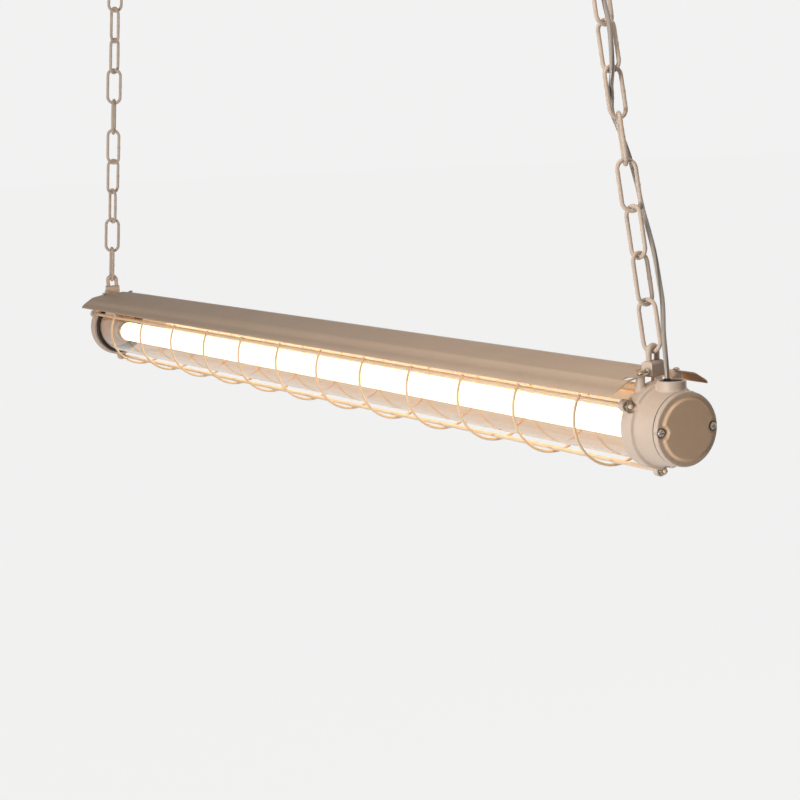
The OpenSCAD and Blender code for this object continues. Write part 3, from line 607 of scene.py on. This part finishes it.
def powder_coat(name, colour, peel, rough, edge=0.0, wear_and_shine=0.0, grain=0.0, gloss=0.42):
    """Sprayed and baked paint: orange peel, slow changes of tone, fine specks, and where worn a few
    rubbed spots of bare metal and lighter spots that are painted highlights."""
    f = Finish(name, Roughness=rough, Specular_IOR_Level=gloss, Coat_Weight=0.2 * gloss, Coat_Roughness=0.35)
    slow, mid, fine = f.noise(14, 3, 0.55), f.noise(160, 3, 0.6), f.noise(1500, 2, 0.6)
    tone = (slow - 0.5) * 0.9 + (mid - 0.5) * 0.55 + (fine - 0.5) * 0.25 + 0.5
    base = f.tones(colour, 0.90, 1.07, tone.within())
    dots = f.specks(420, 0.13) * f.noise(60, 2).above(0.52, 0.66)
    base = f.blend(base, shade(colour, 0.55), dots * 0.45)
    if wear_and_shine:
        rubbed = f.noise(260, 4, 0.7).above(0.63, 0.70) * f.noise(900, 2).above(0.45, 0.6)
        base = f.blend(base, BARE_METAL, rubbed * wear_and_shine)
        # Lighter spots of the paint are painted highlights; the rubbed spots above are real wear
        shine = f.noise(330, 3, 0.7).above(0.60, 0.68)
        base = f.blend(base, shade(colour, 1.3), shine * wear_and_shine * 0.6)
    height = f.noise(peel, 2) * 0.6 + f.noise(peel * 3.1, 2) * 0.25
    depth = 0.00006
    if grain:
        height, depth = height + f.noise(240, 4, 0.62) * grain, 0.00011
    over = f.soft_edges(edge) if edge else {}
    return f.feed(Base_Color=base, Roughness=(rough - 0.06) + f.noise(300, 2) * 0.12,
                  Normal=f.bump(height, depth, 0.7, **over))


def cover_paint(name):
    """The castings' paint, with painted shade that darkens the flat of the cover, and painted shade in the
    seats round its two screws."""
    f = powder_coat(name, colours().paint, 520, 0.44, grain=0.7)
    y, z = f.places("Y", "Z")
    z = z - AXIS
    from_axis = (y * y + z * z) ** 0.5
    aside = abs(y) - 0.0284
    from_screw = (aside * aside + z * z) ** 0.5
    flat = 1 - from_axis.above(0.0298, 0.0318)
    painted = Field(f, f.shader.inputs["Base Color"].links[0].from_socket)
    # Painted shade: the flat is multiplied by the cover colour over the paint, which darkens and warms it
    darker = tuple(c / p for c, p in zip(colours().cover, colours().paint))
    # Painted shade in a ring in the seat round each screw
    seat_shade = (from_screw.above(0.0034, 0.0037) * (1 - from_screw.above(0.0042, 0.0052))).within()
    return f.feed(Base_Color=f.blend(f.blend(painted, darker, flat, "MULTIPLY"), SCREW_SEAT_SHADE, seat_shade * 0.75))


def black_rubber(name):
    f = Finish(name, Roughness=0.62, Specular_IOR_Level=0.4)
    return f.feed(Base_Color=f.tones(colours().rubber, 0.7, 2.2, f.noise(500).above(0.35, 0.75)),
                  Normal=f.bump(f.noise(2400, 2), 0.00003, 0.6))


def metal(name, colour, rough, lines, direction=(1, 1, 1), dull=0.5):
    """Plated metal: fine lines of its making, dull patches, and a little dirt."""
    f = Finish(name, Metallic=1.0, Roughness=rough)
    patch = f.noise(420, 3, 0.6)
    return f.feed(Base_Color=f.tones(colour, 1.12, dull, patch.above(0.45, 0.85)),
                  Roughness=rough + (patch - 0.5) * 0.35,
                  Normal=f.bump(f.noise(lines, 2, 0.5, direction)))


def white_plastic(name):
    f = Finish(name, Roughness=0.36, Specular_IOR_Level=0.5)
    return f.feed(Base_Color=f.tones(colours().plastic, 0.93, 1.04, f.noise(90)),
                  Roughness=0.3 + f.noise(700, 2) * 0.14,
                  Normal=f.bump(f.noise(1800, 2), **f.soft_edges(0.0003)))


def core_insulation(name):
    f = Finish(name, Roughness=0.42)
    return f.feed(Base_Color=f.tones(colours().cores, 0.8, 1.25, f.noise(260)),
                  Normal=f.bump(f.noise(1500, 2)))


def circuit_board(name):
    """White board with rows of yellow light sources."""
    f = Finish(name, Roughness=0.4)
    values = {"Vector": f.place(), "Scale": 90.0, "Mortar Size": 0.02, "Color1": (0.9, 0.85, 0.5),
              "Color2": (0.9, 0.86, 0.55), "Mortar": (0.85, 0.85, 0.83)}
    return f.feed(Base_Color=f.node("TexBrick", {"offset": 0.0}, values, out="Color"),
                  Normal=f.bump(f.noise(900, 2)))


def twin_sheath(name):
    """Clear sheath over two twisted cores: core_side is 1 or -1 over a core and 0 in the valley between
    them."""
    f = Finish(name, Roughness=0.30, Specular_IOR_Level=0.5, Coat_Weight=0.35, Coat_Roughness=0.18)
    side = abs(f.node("Attribute", {"attribute_name": "core_side"}, out="Fac"))
    strands = f.noise(1300, 3, 0.6)
    core = (side.above(0.16, 0.52) + (strands - 0.5) * 0.35).within()
    base = f.blend(colours().sheath_dark, colours().sheath_pale, core)
    # A lighter line along the crest of each core is a painted highlight
    base = f.blend(base, shade(colours().sheath_pale, 1.35), side.above(0.90, 0.995) * 0.5)
    return f.feed(Base_Color=base, Roughness=0.24 + strands * 0.14,
                  Normal=f.bump(side * 0.8 + strands * 0.06, 0.0003, 0.6))


def lit_diffuser(name):
    """Lit opal tube: it glows evenly, and a little warmer towards its caps."""
    f = Finish(name, Roughness=0.5, Base_Color=(0.9, 0.88, 0.84), Emission_Strength=colours().light_strength)
    x, = f.places("X")
    low, high = (corner.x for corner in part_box("diffuser"))
    end = (abs(x - (low + high) / 2) - ((high - low) / 2 - 0.035)).above(0.0, 0.03)
    warm = f.blend(colours().light, shade(END_GLOW, 0.8), end)
    return f.feed(Emission_Color=f.blend(warm, shade(colours().light, 0.96), f.noise(9, 2) * 0.3),
                  Normal=f.bump(f.noise(900, 2), 0.00002, 0.4))


def clear_glass(name):
    """Faintly amber glass with fine streaks. Light that goes out through it to the other pieces passes
    straight, with the same tint."""
    f = Finish(name, Roughness=0.02, IOR=1.47, Transmission_Weight=1.0)
    streaks = f.noise(60, 3, 0.6, (0.08, 1, 1))
    f.feed(Base_Color=f.tones(colours().glass, 1, 0.97, streaks.above(0.4, 0.7)),
           Roughness=0.012 + f.noise(180, 4, 0.7).above(0.56, 0.8) * 0.05,
           Normal=f.bump(streaks, 0.00004, 0.3))
    clear = f.node("BsdfTransparent", {}, {"Color": tuple(c**0.5 for c in colours().glass)})
    f.show(f.node("MixShader", {}, {0: f.rays("Shadow", "Diffuse"), 1: f.surface, 2: clear}))
    return f


FINISHES = {
    "sheet_paint": lambda name: powder_coat(name, colours().sheet, 620, 0.52, gloss=0.1),
    "wire_paint": lambda name: powder_coat(name, colours().wire, 800, 0.44),
    "fitting_paint": lambda name: powder_coat(name, colours().paint, 700, 0.46, edge=0.0004),
    "chain_paint": lambda name: powder_coat(name, shade(colours().paint, 0.97), 900, 0.42, wear_and_shine=0.55),
    "casting_paint": lambda name: powder_coat(name, colours().paint, 520, 0.50, grain=0.8),
    "zinc_steel": lambda name: metal(name, colours().zinc, 0.40, 2600),
    "brass": lambda name: metal(name, colours().brass, 0.28, 2200),
    "cap_aluminium": lambda name: metal(name, colours().cap, 0.36, 5200, (1, 0.12, 0.12), 0.8),
}
for maker in (cover_paint, black_rubber, white_plastic, core_insulation, circuit_board, twin_sheath, lit_diffuser,
              clear_glass):
    FINISHES[maker.__name__] = maker
MADE = {}


def finish(name):
    """Gives the finish of that name, and makes it the first time."""
    if name not in MADE:
        MADE[name] = FINISHES[name](name).material
    return MADE[name]


def dressed(piece, look):
    """Gives a piece one finish."""
    piece.data.materials.clear()
    piece.data.materials.append(finish(look))


def keep(look, *nodes):
    """Gives CAD nodes that keep their shape their finish."""
    for node in nodes:
        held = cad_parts[node]
        if not held.material_slots:
            held.data.materials.append(None)
        for slot in held.material_slots:
            slot.material = finish(look)


def ride(piece, look, *nodes, body="lamp"):
    """Finish, body and replaced nodes of a new piece in one call."""
    dressed(piece, look)
    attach(piece, body)
    if nodes:
        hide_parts(*nodes)


def built(name, grids, look, *nodes, body="lamp", loop=False):
    """A new piece of one or more closed surfaces in lamp millimetres, finished and riding on its body."""
    ride(many(name, in_row(np.stack(grids)), loop), look, *nodes, body=body)


# Operators


class Build:
    """What every operator here shares."""

    def execute(self, context):
        self.build()
        return {"FINISHED"}


class PENDANT_OT_stage(Build, bpy.types.Operator):
    """Camera at the photograph's angle, soft lamps, a plain pale floor and backdrop."""

    bl_idname = "pendant.stage"
    bl_label = "Camera, lamps and floor"

    def build(self):
        scene = bpy.context.scene
        camera = placed("camera", bpy.data.cameras.new("camera"))
        camera.data.sensor_width, camera.data.lens = 36, CAMERA_LENS
        camera.data.clip_start, camera.data.clip_end = 0.05, 200
        back = -Vector(CAMERA_VIEW).normalized()
        right = Vector(CAMERA_UP).cross(back).normalized()
        turn = Matrix((right, back.cross(right), back)).transposed()
        camera.matrix_world = Matrix.Translation(CAMERA_PLACE) @ turn.to_4x4()
        scene.camera = camera
        scene.view_settings.view_transform = "Standard"
        for name, (place, aim, size, power, colour) in LAMPS.items():
            made = placed(name, bpy.data.lights.new(name, "AREA"))
            made.data.shape, made.data.size, made.data.energy, made.data.color = "DISK", size, power, colour
            turn = (Vector(place) - Vector(aim)).to_track_quat("Z", "Y").to_matrix()
            made.matrix_world = Matrix.Translation(place) @ turn.to_4x4()
        self.world()
        self.floor()

    def world(self):
        """The backdrop's colour where it is seen or mirrored, and a soft warm light elsewhere."""
        world = bpy.data.worlds.new("studio")
        bpy.context.scene.world = world
        world.use_nodes = True
        w = Nodes(world.node_tree, "OutputWorld")
        seen = w.node("Background", {}, {"Color": tuple(colours().backdrop)})
        soft = w.node("Background", {}, {"Color": SKY, "Strength": SKY_STRENGTH})
        factor = w.rays("Camera", "Glossy", "Transmission")
        w.show(w.node("MixShader", {}, {0: factor, 1: soft, 2: seen}))

    def floor(self):
        """A disc far below the lamp: the camera sees mostly the backdrop's colour on it, and a faint
        shadow."""
        radius, height, corners = 40, -1.45, 96
        t = around(corners)
        rim = beside(radius * np.cos(t), radius * np.sin(t), height)
        mesh = bpy.data.meshes.new("floor")
        mesh.from_pydata(rim.tolist(), [], [list(range(corners))])
        floor = placed("floor", mesh)
        f = Finish("floor", Base_Color=(0.8, 0.8, 0.8), Roughness=0.8)
        f.feed(Base_Color=f.blend((0.79, 0.79, 0.79), (0.81, 0.81, 0.81), f.noise(3, 2)))
        glow = f.node("Emission", {}, {"Color": tuple(colours().backdrop), "Strength": 1.04})
        factor = f.rays("Camera", "Glossy", "Transmission") * 0.94
        f.show(f.node("MixShader", {}, {0: factor, 1: f.surface, 2: glow}))
        floor.data.materials.append(f.material)


class PENDANT_OT_cable(Build, bpy.types.Operator):
    """The two-core supply cable, which climbs the near chain from the gland to the ceiling."""

    bl_idname = "pendant.cable"
    bl_label = "Supply cable"

    def build(self):
        steps, sides, first_turn = 8, 24, 0.9
        line = smooth_route(in_row(CABLE), steps)
        gone = np.append(0, np.cumsum(np.linalg.norm(np.diff(line, axis=0), axis=1)))
        at = lambda q: tuple(line[q * steps])
        # Piece, first and last point, node, and the bodies and points of a bend, which is not made: a stretch with a
        # bend is left without a body, one without rides on the near chain
        stretches = [
            ("supply_cable_end", 0, 4, "cable_end", ("near_bottom_link", "lamp", 4, 0)),
            ("supply_cable_lower", 4, 6, "cable_lower", ("near_chain", "near_bottom_link", 5, 4)),
            ("supply_cable_chain", 6, 21, "cable_chain", None),
            ("supply_cable_upper", 21, 24, "cable_upper", ("near_top_link", "near_chain", 24, 22)),
            ("supply_cable_top", 24, 28, "cable_top", ("ceiling", "near_top_link", 26, 24)),
        ]
        rings = swept(line, sizes().cable / 2, sides)
        side = np.cos(around(sides) - first_turn - TURN * gone[:, None] / sizes().core_lay)
        # A ring close to each end keeps the shading of the stretches even where they meet
        near = lambda a, b: 0.98 * a + 0.02 * b
        close = lambda v: np.concatenate([v[:1], near(v[:1], v[1:2]), v[1:-1], near(v[-1:], v[-2:-1]), v[-1:]])
        for name, first, last, node, bend in stretches:
            cut = slice(first * steps, last * steps + 1)
            over = close(side[cut]).ravel()
            core_side = np.append(over, over[[0, -1]])
            piece = many(name, close(rings[cut])[None], attributes={"core_side": core_side})
            dressed(piece, "twin_sheath")
            if bend:
                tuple(at(bend[2]))
                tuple(at(bend[3]))
                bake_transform(piece)
            else:
                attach(piece, "near_chain")
            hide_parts(node)
            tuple(at(first))


class PENDANT_OT_chains(Build, bpy.types.Operator):
    """Ten welded links on each side, at the turns that the photograph shows."""

    bl_idname = "pendant.chains"
    bl_label = "Chains"

    def build(self):
        for name, side, turns in (("near", 1, NEAR_TURNS), ("far", -1, FAR_TURNS)):
            for part, first, last in (("top_link", 0, 0), ("chain", 1, 8), ("bottom_link", 9, 9)):
                node = f"{name}_{part}"
                piece = many(f"{node}_welded", chain_rings(side, turns, first, last), loop=True)
                ride(piece, "chain_paint", node, body=node)


class PENDANT_OT_ceiling(Build, bpy.types.Operator):
    """Ceiling plates, hooks and the grip of the cable."""

    bl_idname = "pendant.ceiling"
    bl_label = "Ceiling fittings"

    def build(self):
        keep("fitting_paint", "near_ceiling_plate", "far_ceiling_plate", "near_hook", "far_hook")
        bottom, top = lamp_box("ceiling_cable_grip")[:, 2]
        sleeve_r, corner, seat = 5, 8.0, top - 5
        body = rounded([(2.5, bottom, 0), (sleeve_r, bottom, 1.2), (sleeve_r, seat - 0.2, 0.1), (sleeve_r, seat, 0)])
        nut = rounded([(sleeve_r, seat, 0), (corner, seat, 0.3), (corner, top, 0.2), (0.5, top, 0)])

        def ribbed(r, x, t):
            """The sleeve's radius less eighteen narrow grooves: r - 0.35 (0.5 + 0.5 cos(18 t))^3."""
            return np.where((r > 4.6) & (x < seat - 1), r - 0.35 * (0.5 + 0.5 * np.cos(18 * t)) ** 3, r)

        def six(r, x, t):
            """On the nut, the lesser of the hexagon's radius and of a cone that rises from its seat."""
            cone = 6.9 + 1.3 * np.minimum(x - seat + 0.15, 4)
            return np.where(r > sleeve_r + 0.2, np.minimum(hexagon(corner, t), cone), r)

        centre = (*CABLE[-1][:2], 0)
        shell = [revolved(line, 72, centre, (0, 0, 1), radius) for line, radius in ((body, ribbed), (nut, six))]
        built("cable_grip", [np.concatenate(shell)], "black_rubber", "ceiling_cable_grip", body="ceiling")


class PENDANT_OT_hangers(Build, bpy.types.Operator):
    """Cast hanger blocks, their loops and side screws."""

    bl_idname = "pendant.hangers"
    bl_label = "Hangers"

    def build(self):
        block_grid, loop_wire, loop_r = 0.0004, 5.5, 5.75
        screw_out, screw_z = 9.4, 47.5
        for side in ("near", "far"):
            block = cast_shape(f"{side}_hanger_casting", f"{side}_hanger_block", block_grid, 4)
            ride(block, "casting_paint", f"{side}_hanger_block")
        grids = []
        for turn, side in ((16, "near"), (-16, "far")):
            low, high = lamp_box(f"{side}_hanger_loop")
            x, y = (low[:2] + high[:2]) / 2
            spin = turned_about("Z", radians(turn))
            loop = threaded_loop(high[2], low[2], loop_wire, loop_r) @ spin.T + (x, y, 0)
            built(f"{side}_hanger_bolt", [loop], "fitting_paint", f"{side}_hanger_loop")
            out = spin @ (0, -1.0, 0)
            grids.append(cross_screw((x + screw_out * out[0], screw_out * out[1], screw_z), out, *HANGER_SCREW))
        built("hanger_cross_screws", grids, "zinc_steel", "hanger_screws")


class PENDANT_OT_castings(Build, bpy.types.Operator):
    """The near housing and the far cap."""

    bl_idname = "pendant.castings"
    bl_label = "End castings"

    def build(self):
        for node in ("near_housing", "far_cap"):
            ride(cast_shape(f"{node}_casting", node, sizes().cast_grid, 5), "casting_paint", node)


class PENDANT_OT_cover(Build, bpy.types.Operator):
    """The end cover with its raised middle, its gasket and two cross recess screws."""

    bl_idname = "pendant.cover"
    bl_label = "End cover"

    def build(self):
        rise, edge, rim, inner, screw_r = sizes().cover_rise / MM, 33.3, 1.5, 20, 28.4
        flat = np.concatenate([np.linspace(0.4, inner, 18), np.linspace(inner + 0.5, edge - rim, 46)])
        bend = np.linspace(0.1, 1, 9) * pi / 2
        front = beside(flat, 0)
        side = beside(edge - rim * (1 - np.sin(bend)), rim * (np.cos(bend) - 1))
        low = -COVER_DEPTH
        back = [(edge, -3.5), (edge, low + 0.3), (edge - 0.3, low), (inner, low), (0.4, low)]
        profile = np.vstack([front, side, back])
        on_front = (np.arange(len(profile)) < len(front))[:, None]

        def height(R, x, t):
            """Raised middle with a slight crown and a notch round each screw, less the screws' seats."""
            y, z = R * np.cos(t), R * np.sin(t)
            away = np.minimum(np.hypot(y - screw_r, z), np.hypot(y + screw_r, z))
            raised = step(27.2 - R, 0.75) * step(away - 6.4, 0.55)
            seat = step(4.3 - away, 0.18)
            crown = 0.25 * (1 - (R / 27) ** 2)
            return (raised * (rise - 0.25 + crown) - 0.8 * seat) * on_front

        built("end_cover", [revolved(profile, 264, shift=height)], "cover_paint", "near_cover")
        keep("black_rubber", "cover_gasket")
        screws = [cross_screw((-0.8, y * screw_r, 0), (1, 0, 0), *COVER_SCREW) for y in (-1, 1)]
        built("cover_cross_screws", screws, "zinc_steel", "cover_screws")


class PENDANT_OT_guard(Build, bpy.types.Operator):
    """Tie rods with threaded ends, chamfered nuts, guard rings and their spot welds."""

    bl_idname = "pendant.guard"
    bl_label = "Guard"

    def build(self):
        rod_r, rod_circle, weld_circle = 2.0, 41.4, 43.5
        nut_height, nut_corner, nut_hole = 3.2, 4.04, 2.02
        weld_long, weld_wide, weld_high = 2.5, 1.5, 0.8
        first_ring, ring_pitch, ring_count = -107.6, 100.0, 12
        turns = {"front_rod": -120, "bottom_rod": 0, "back_rod": 120}
        nuts = []
        for node, degrees in turns.items():
            _, y, z = turned_about("X", radians(degrees)) @ (0, 0, -rod_circle)
            x0, x1 = lamp_box(node)[:, 0]
            rod = threaded_rod(y, z, x0, x1, rod_r, sizes().thread / MM, sizes().thread_length / MM)
            built(f"{node}_threaded", [rod], "wire_paint", node)
            nuts += [hex_nut((x, y, z), nut_height, nut_corner, nut_hole) for x in (x1 - 6.2, x0 + 3)]
        built("rod_nuts_chamfered", nuts, "zinc_steel", "rod_nuts", loop=True)
        keep("zinc_steel", "rod_washers")
        keep("wire_paint", "guard_rings")
        t = around(14)[None, :]
        h = np.linspace(-0.92, 0.92, 7)[:, None]
        w = np.sqrt(1 - h * h)
        bead = np.stack([weld_long * h + 0 * t, weld_wide * w * np.cos(t), weld_high * w * np.sin(t)], -1)
        x = first_ring - ring_pitch * np.arange(ring_count)
        row = bead + beside(x, 0, -weld_circle)[:, None, None]
        welds = [row @ turned_about("X", radians(degrees)).T for degrees in turns.values()]
        built("ring_welds", np.concatenate(welds), "wire_paint")


class PENDANT_OT_reflector(Build, bpy.types.Operator):
    """The folded sheet over the glass, and its four screws."""

    bl_idname = "pendant.reflector"
    bl_label = "Reflector"

    def build(self):
        ride(folded_sheet("folded_reflector", "reflector", sizes().fold), "sheet_paint", "reflector")
        crown, slope, crown_half, screw_x, screw_y = 50.4, 7.1 / 37, 3.2, (-39.5, -1287.9), 20
        z = crown - slope * (screw_y - crown_half) + 0.05
        grids = [cross_screw((x, y * screw_y, z), (0, 0, 1), *SHEET_SCREW) for x in screw_x for y in (-1, 1)]
        built("sheet_cross_screws", grids, "zinc_steel", "reflector_screws")


class PENDANT_OT_glass(Build, bpy.types.Operator):
    """The glass tube with fire-rounded ends, and the seals that hold it."""

    bl_idname = "pendant.glass"
    bl_label = "Glass tube"

    def build(self):
        columns, middle_r, half_wall = 128, 33, 1
        x0, x1 = lamp_box("glass_tube")[:, 0]
        # Rows close to each end keep the shading of the long walls even
        ends = np.array([1, 1.1, 1.3, 2])
        x = np.concatenate([x0 + ends, np.linspace(x0 + 4, x1 - 4, 25), x1 - ends[::-1]])
        a = np.linspace(0, pi, 9)[1:-1]
        near = beside(middle_r + half_wall * np.cos(a), x1 - half_wall + half_wall * np.sin(a))
        far = beside(middle_r - half_wall * np.cos(a), x0 + half_wall - half_wall * np.sin(a))
        outer, inner = beside(middle_r + half_wall, x), beside(middle_r - half_wall, x[::-1])
        grid = revolved(np.vstack([outer, near, inner, far]), columns)
        built("glass", [grid], "clear_glass", "glass_tube", loop=True)
        keep("black_rubber", "near_seal", "far_seal")
        faces = (lamp_box("near_housing")[0, 0], -1), (lamp_box("far_cap")[1, 0], 1)
        lip = rounded([(34.05, -0.3, 0), (36.4, -0.3, 0.1), (36.2, 3.4, 0.8), (34.6, 4.2, 0.3), (34.05, 4.2, 0)])
        lips = [revolved(lip, columns, (face, 0, 0), (way, 0, 0)) for face, way in faces]
        built("seal_lips", lips, "black_rubber", loop=True)


class PENDANT_OT_lamp(Build, bpy.types.Operator):
    """The lit lamp tube with its caps, pins and strip of light sources."""

    bl_idname = "pendant.lamp"
    bl_label = "Lamp tube"

    def build(self):
        outer_r, inner_r, pin_out, cap_r = 12.5, 11.5, 6.35, 13
        ends = {"near": (lamp_box("near_tube_cap")[1, 0], 1), "far": (lamp_box("far_tube_cap")[0, 0], -1)}
        x = np.linspace(ends["far"][0] + 3, ends["near"][0] - 3, 41)
        grid = revolved(np.vstack([beside(outer_r, x), beside(inner_r, x[::-1])]), 72, (0, 0, TUBE_Z))
        built("opal_tube", [grid], "lit_diffuser", "diffuser", body="led_tube", loop=True)
        cap = rounded([(0.6, 0, 0), (cap_r, 0, 1.1), (cap_r, -9.6, 0.2), (12.75, -10.1, 0.2), (cap_r, -10.6, 0.2),
                       (cap_r, -14, 0.15), (12.55, -14, 0.1), (12.55, -2.9, 0.3), (0.6, -2.9, 0)])
        pin = rounded([(0.1, 0, 0), (1.2, 0, 0), (1.2, 7, 0.45), (0.1, 7, 0)])
        pins = []
        for end, (face, way) in ends.items():
            cup = revolved(cap, 72, (face, 0, TUBE_Z), (way, 0, 0))
            built(f"{end}_tube_cap_rolled", [cup], "cap_aluminium", f"{end}_tube_cap", body="led_tube")
            pins += [revolved(pin, 28, (face, y * pin_out, TUBE_Z), (way, 0, 0)) for y in (-1, 1)]
        built("contact_pins", pins, "brass", "tube_pins", body="led_tube")
        keep("circuit_board", "light_strip")


class PENDANT_OT_holders(Build, bpy.types.Operator):
    """Lampholders, their plates and contacts."""

    bl_idname = "pendant.holders"
    bl_label = "Lampholders"

    def build(self):
        keep("fitting_paint", "near_holder_plate", "far_holder_plate")
        keep("white_plastic", "near_lampholder", "far_lampholder")
        keep("brass", "holder_contacts")


class PENDANT_OT_wiring(Build, bpy.types.Operator):
    """Terminal block, cores, leads, earth screw and the rubber bush in the gland."""

    bl_idname = "pendant.wiring"
    bl_label = "Wiring"

    def build(self):
        keep("white_plastic", "terminal_block")
        keep("core_insulation", "supply_cores", "holder_leads")
        low, high = lamp_box("earth_screw")
        x, y = (low[:2] + high[:2]) / 2
        earth = cross_screw((x, y, high[2] - EARTH_SCREW[1]), (0, 0, 1), *EARTH_SCREW)
        built("earth_cross_screw", [earth], "brass", "earth_screw")
        foot, crest, valley, bore = 29.5, 40.6, 39.5, 10.4
        ribs = [(r, crest if n % 2 else valley, 0.2) for n, r in enumerate(np.arange(9.6, 5.9, -0.7))]
        bush = rounded([(0.5, foot, 0), (bore, foot, 0.2), (bore, crest, 0.3), *ribs, (0.5, 39.7, 0)], 4)
        sleeve = rounded([(0.5, 38.0, 0), (3.5, 38.0, 0.1), (3.5, 40.8, 0.4), (2.9, 43.0, 0.3), (2.2, 43.2, 0)], 4)
        # The sleeve's mouth gets the rows that it has less than the bush
        mouth = sleeve[-1] - np.linspace(0, 0.02, len(bush) - len(sleeve))[:, None] * (1, 0)
        plug = revolved(bush, 72, (-20.8, 0, 0), (0, 0, 1))
        collar = revolved(np.vstack([sleeve, mouth]), 72, (-24, -2, 0), (0, 0, 1))
        built("gland_rubber", [plug, collar], "black_rubber", "gland_bush")


class PENDANT_PT_panel(bpy.types.Panel):
    """Lists the pieces of the pendant."""

    bl_idname = "PENDANT_PT_panel"
    bl_label = "Tubular cage pendant"
    bl_space_type = "VIEW_3D"
    bl_region_type = "UI"
    bl_category = "Pendant"

    def draw(self, context):
        for operator in OPERATORS:
            self.layout.operator(operator.bl_idname)
        for group in (context.scene.pendant_sizes, context.scene.pendant_colours):
            for key in group.__annotations__:
                self.layout.prop(group, key)


OPERATORS = (
    PENDANT_OT_stage, PENDANT_OT_cable, PENDANT_OT_chains, PENDANT_OT_ceiling, PENDANT_OT_hangers, PENDANT_OT_castings,
    PENDANT_OT_cover, PENDANT_OT_guard, PENDANT_OT_reflector, PENDANT_OT_glass, PENDANT_OT_lamp, PENDANT_OT_holders,
    PENDANT_OT_wiring,
)
CLASSES = (PendantSizes, PendantColours, *OPERATORS, PENDANT_PT_panel)


def register():
    for kind in CLASSES:
        bpy.utils.register_class(kind)
    bpy.types.Scene.pendant_sizes = bpy.props.PointerProperty(type=PendantSizes)
    bpy.types.Scene.pendant_colours = bpy.props.PointerProperty(type=PendantColours)


def unregister():
    del bpy.types.Scene.pendant_sizes
    del bpy.types.Scene.pendant_colours
    for kind in reversed(CLASSES):
        bpy.utils.unregister_class(kind)


def main():
    register()
    for operator in OPERATORS:
        section, call = operator.bl_idname.split(".")
        getattr(getattr(bpy.ops, section), call)()


if __name__ == "__main__":
    main()
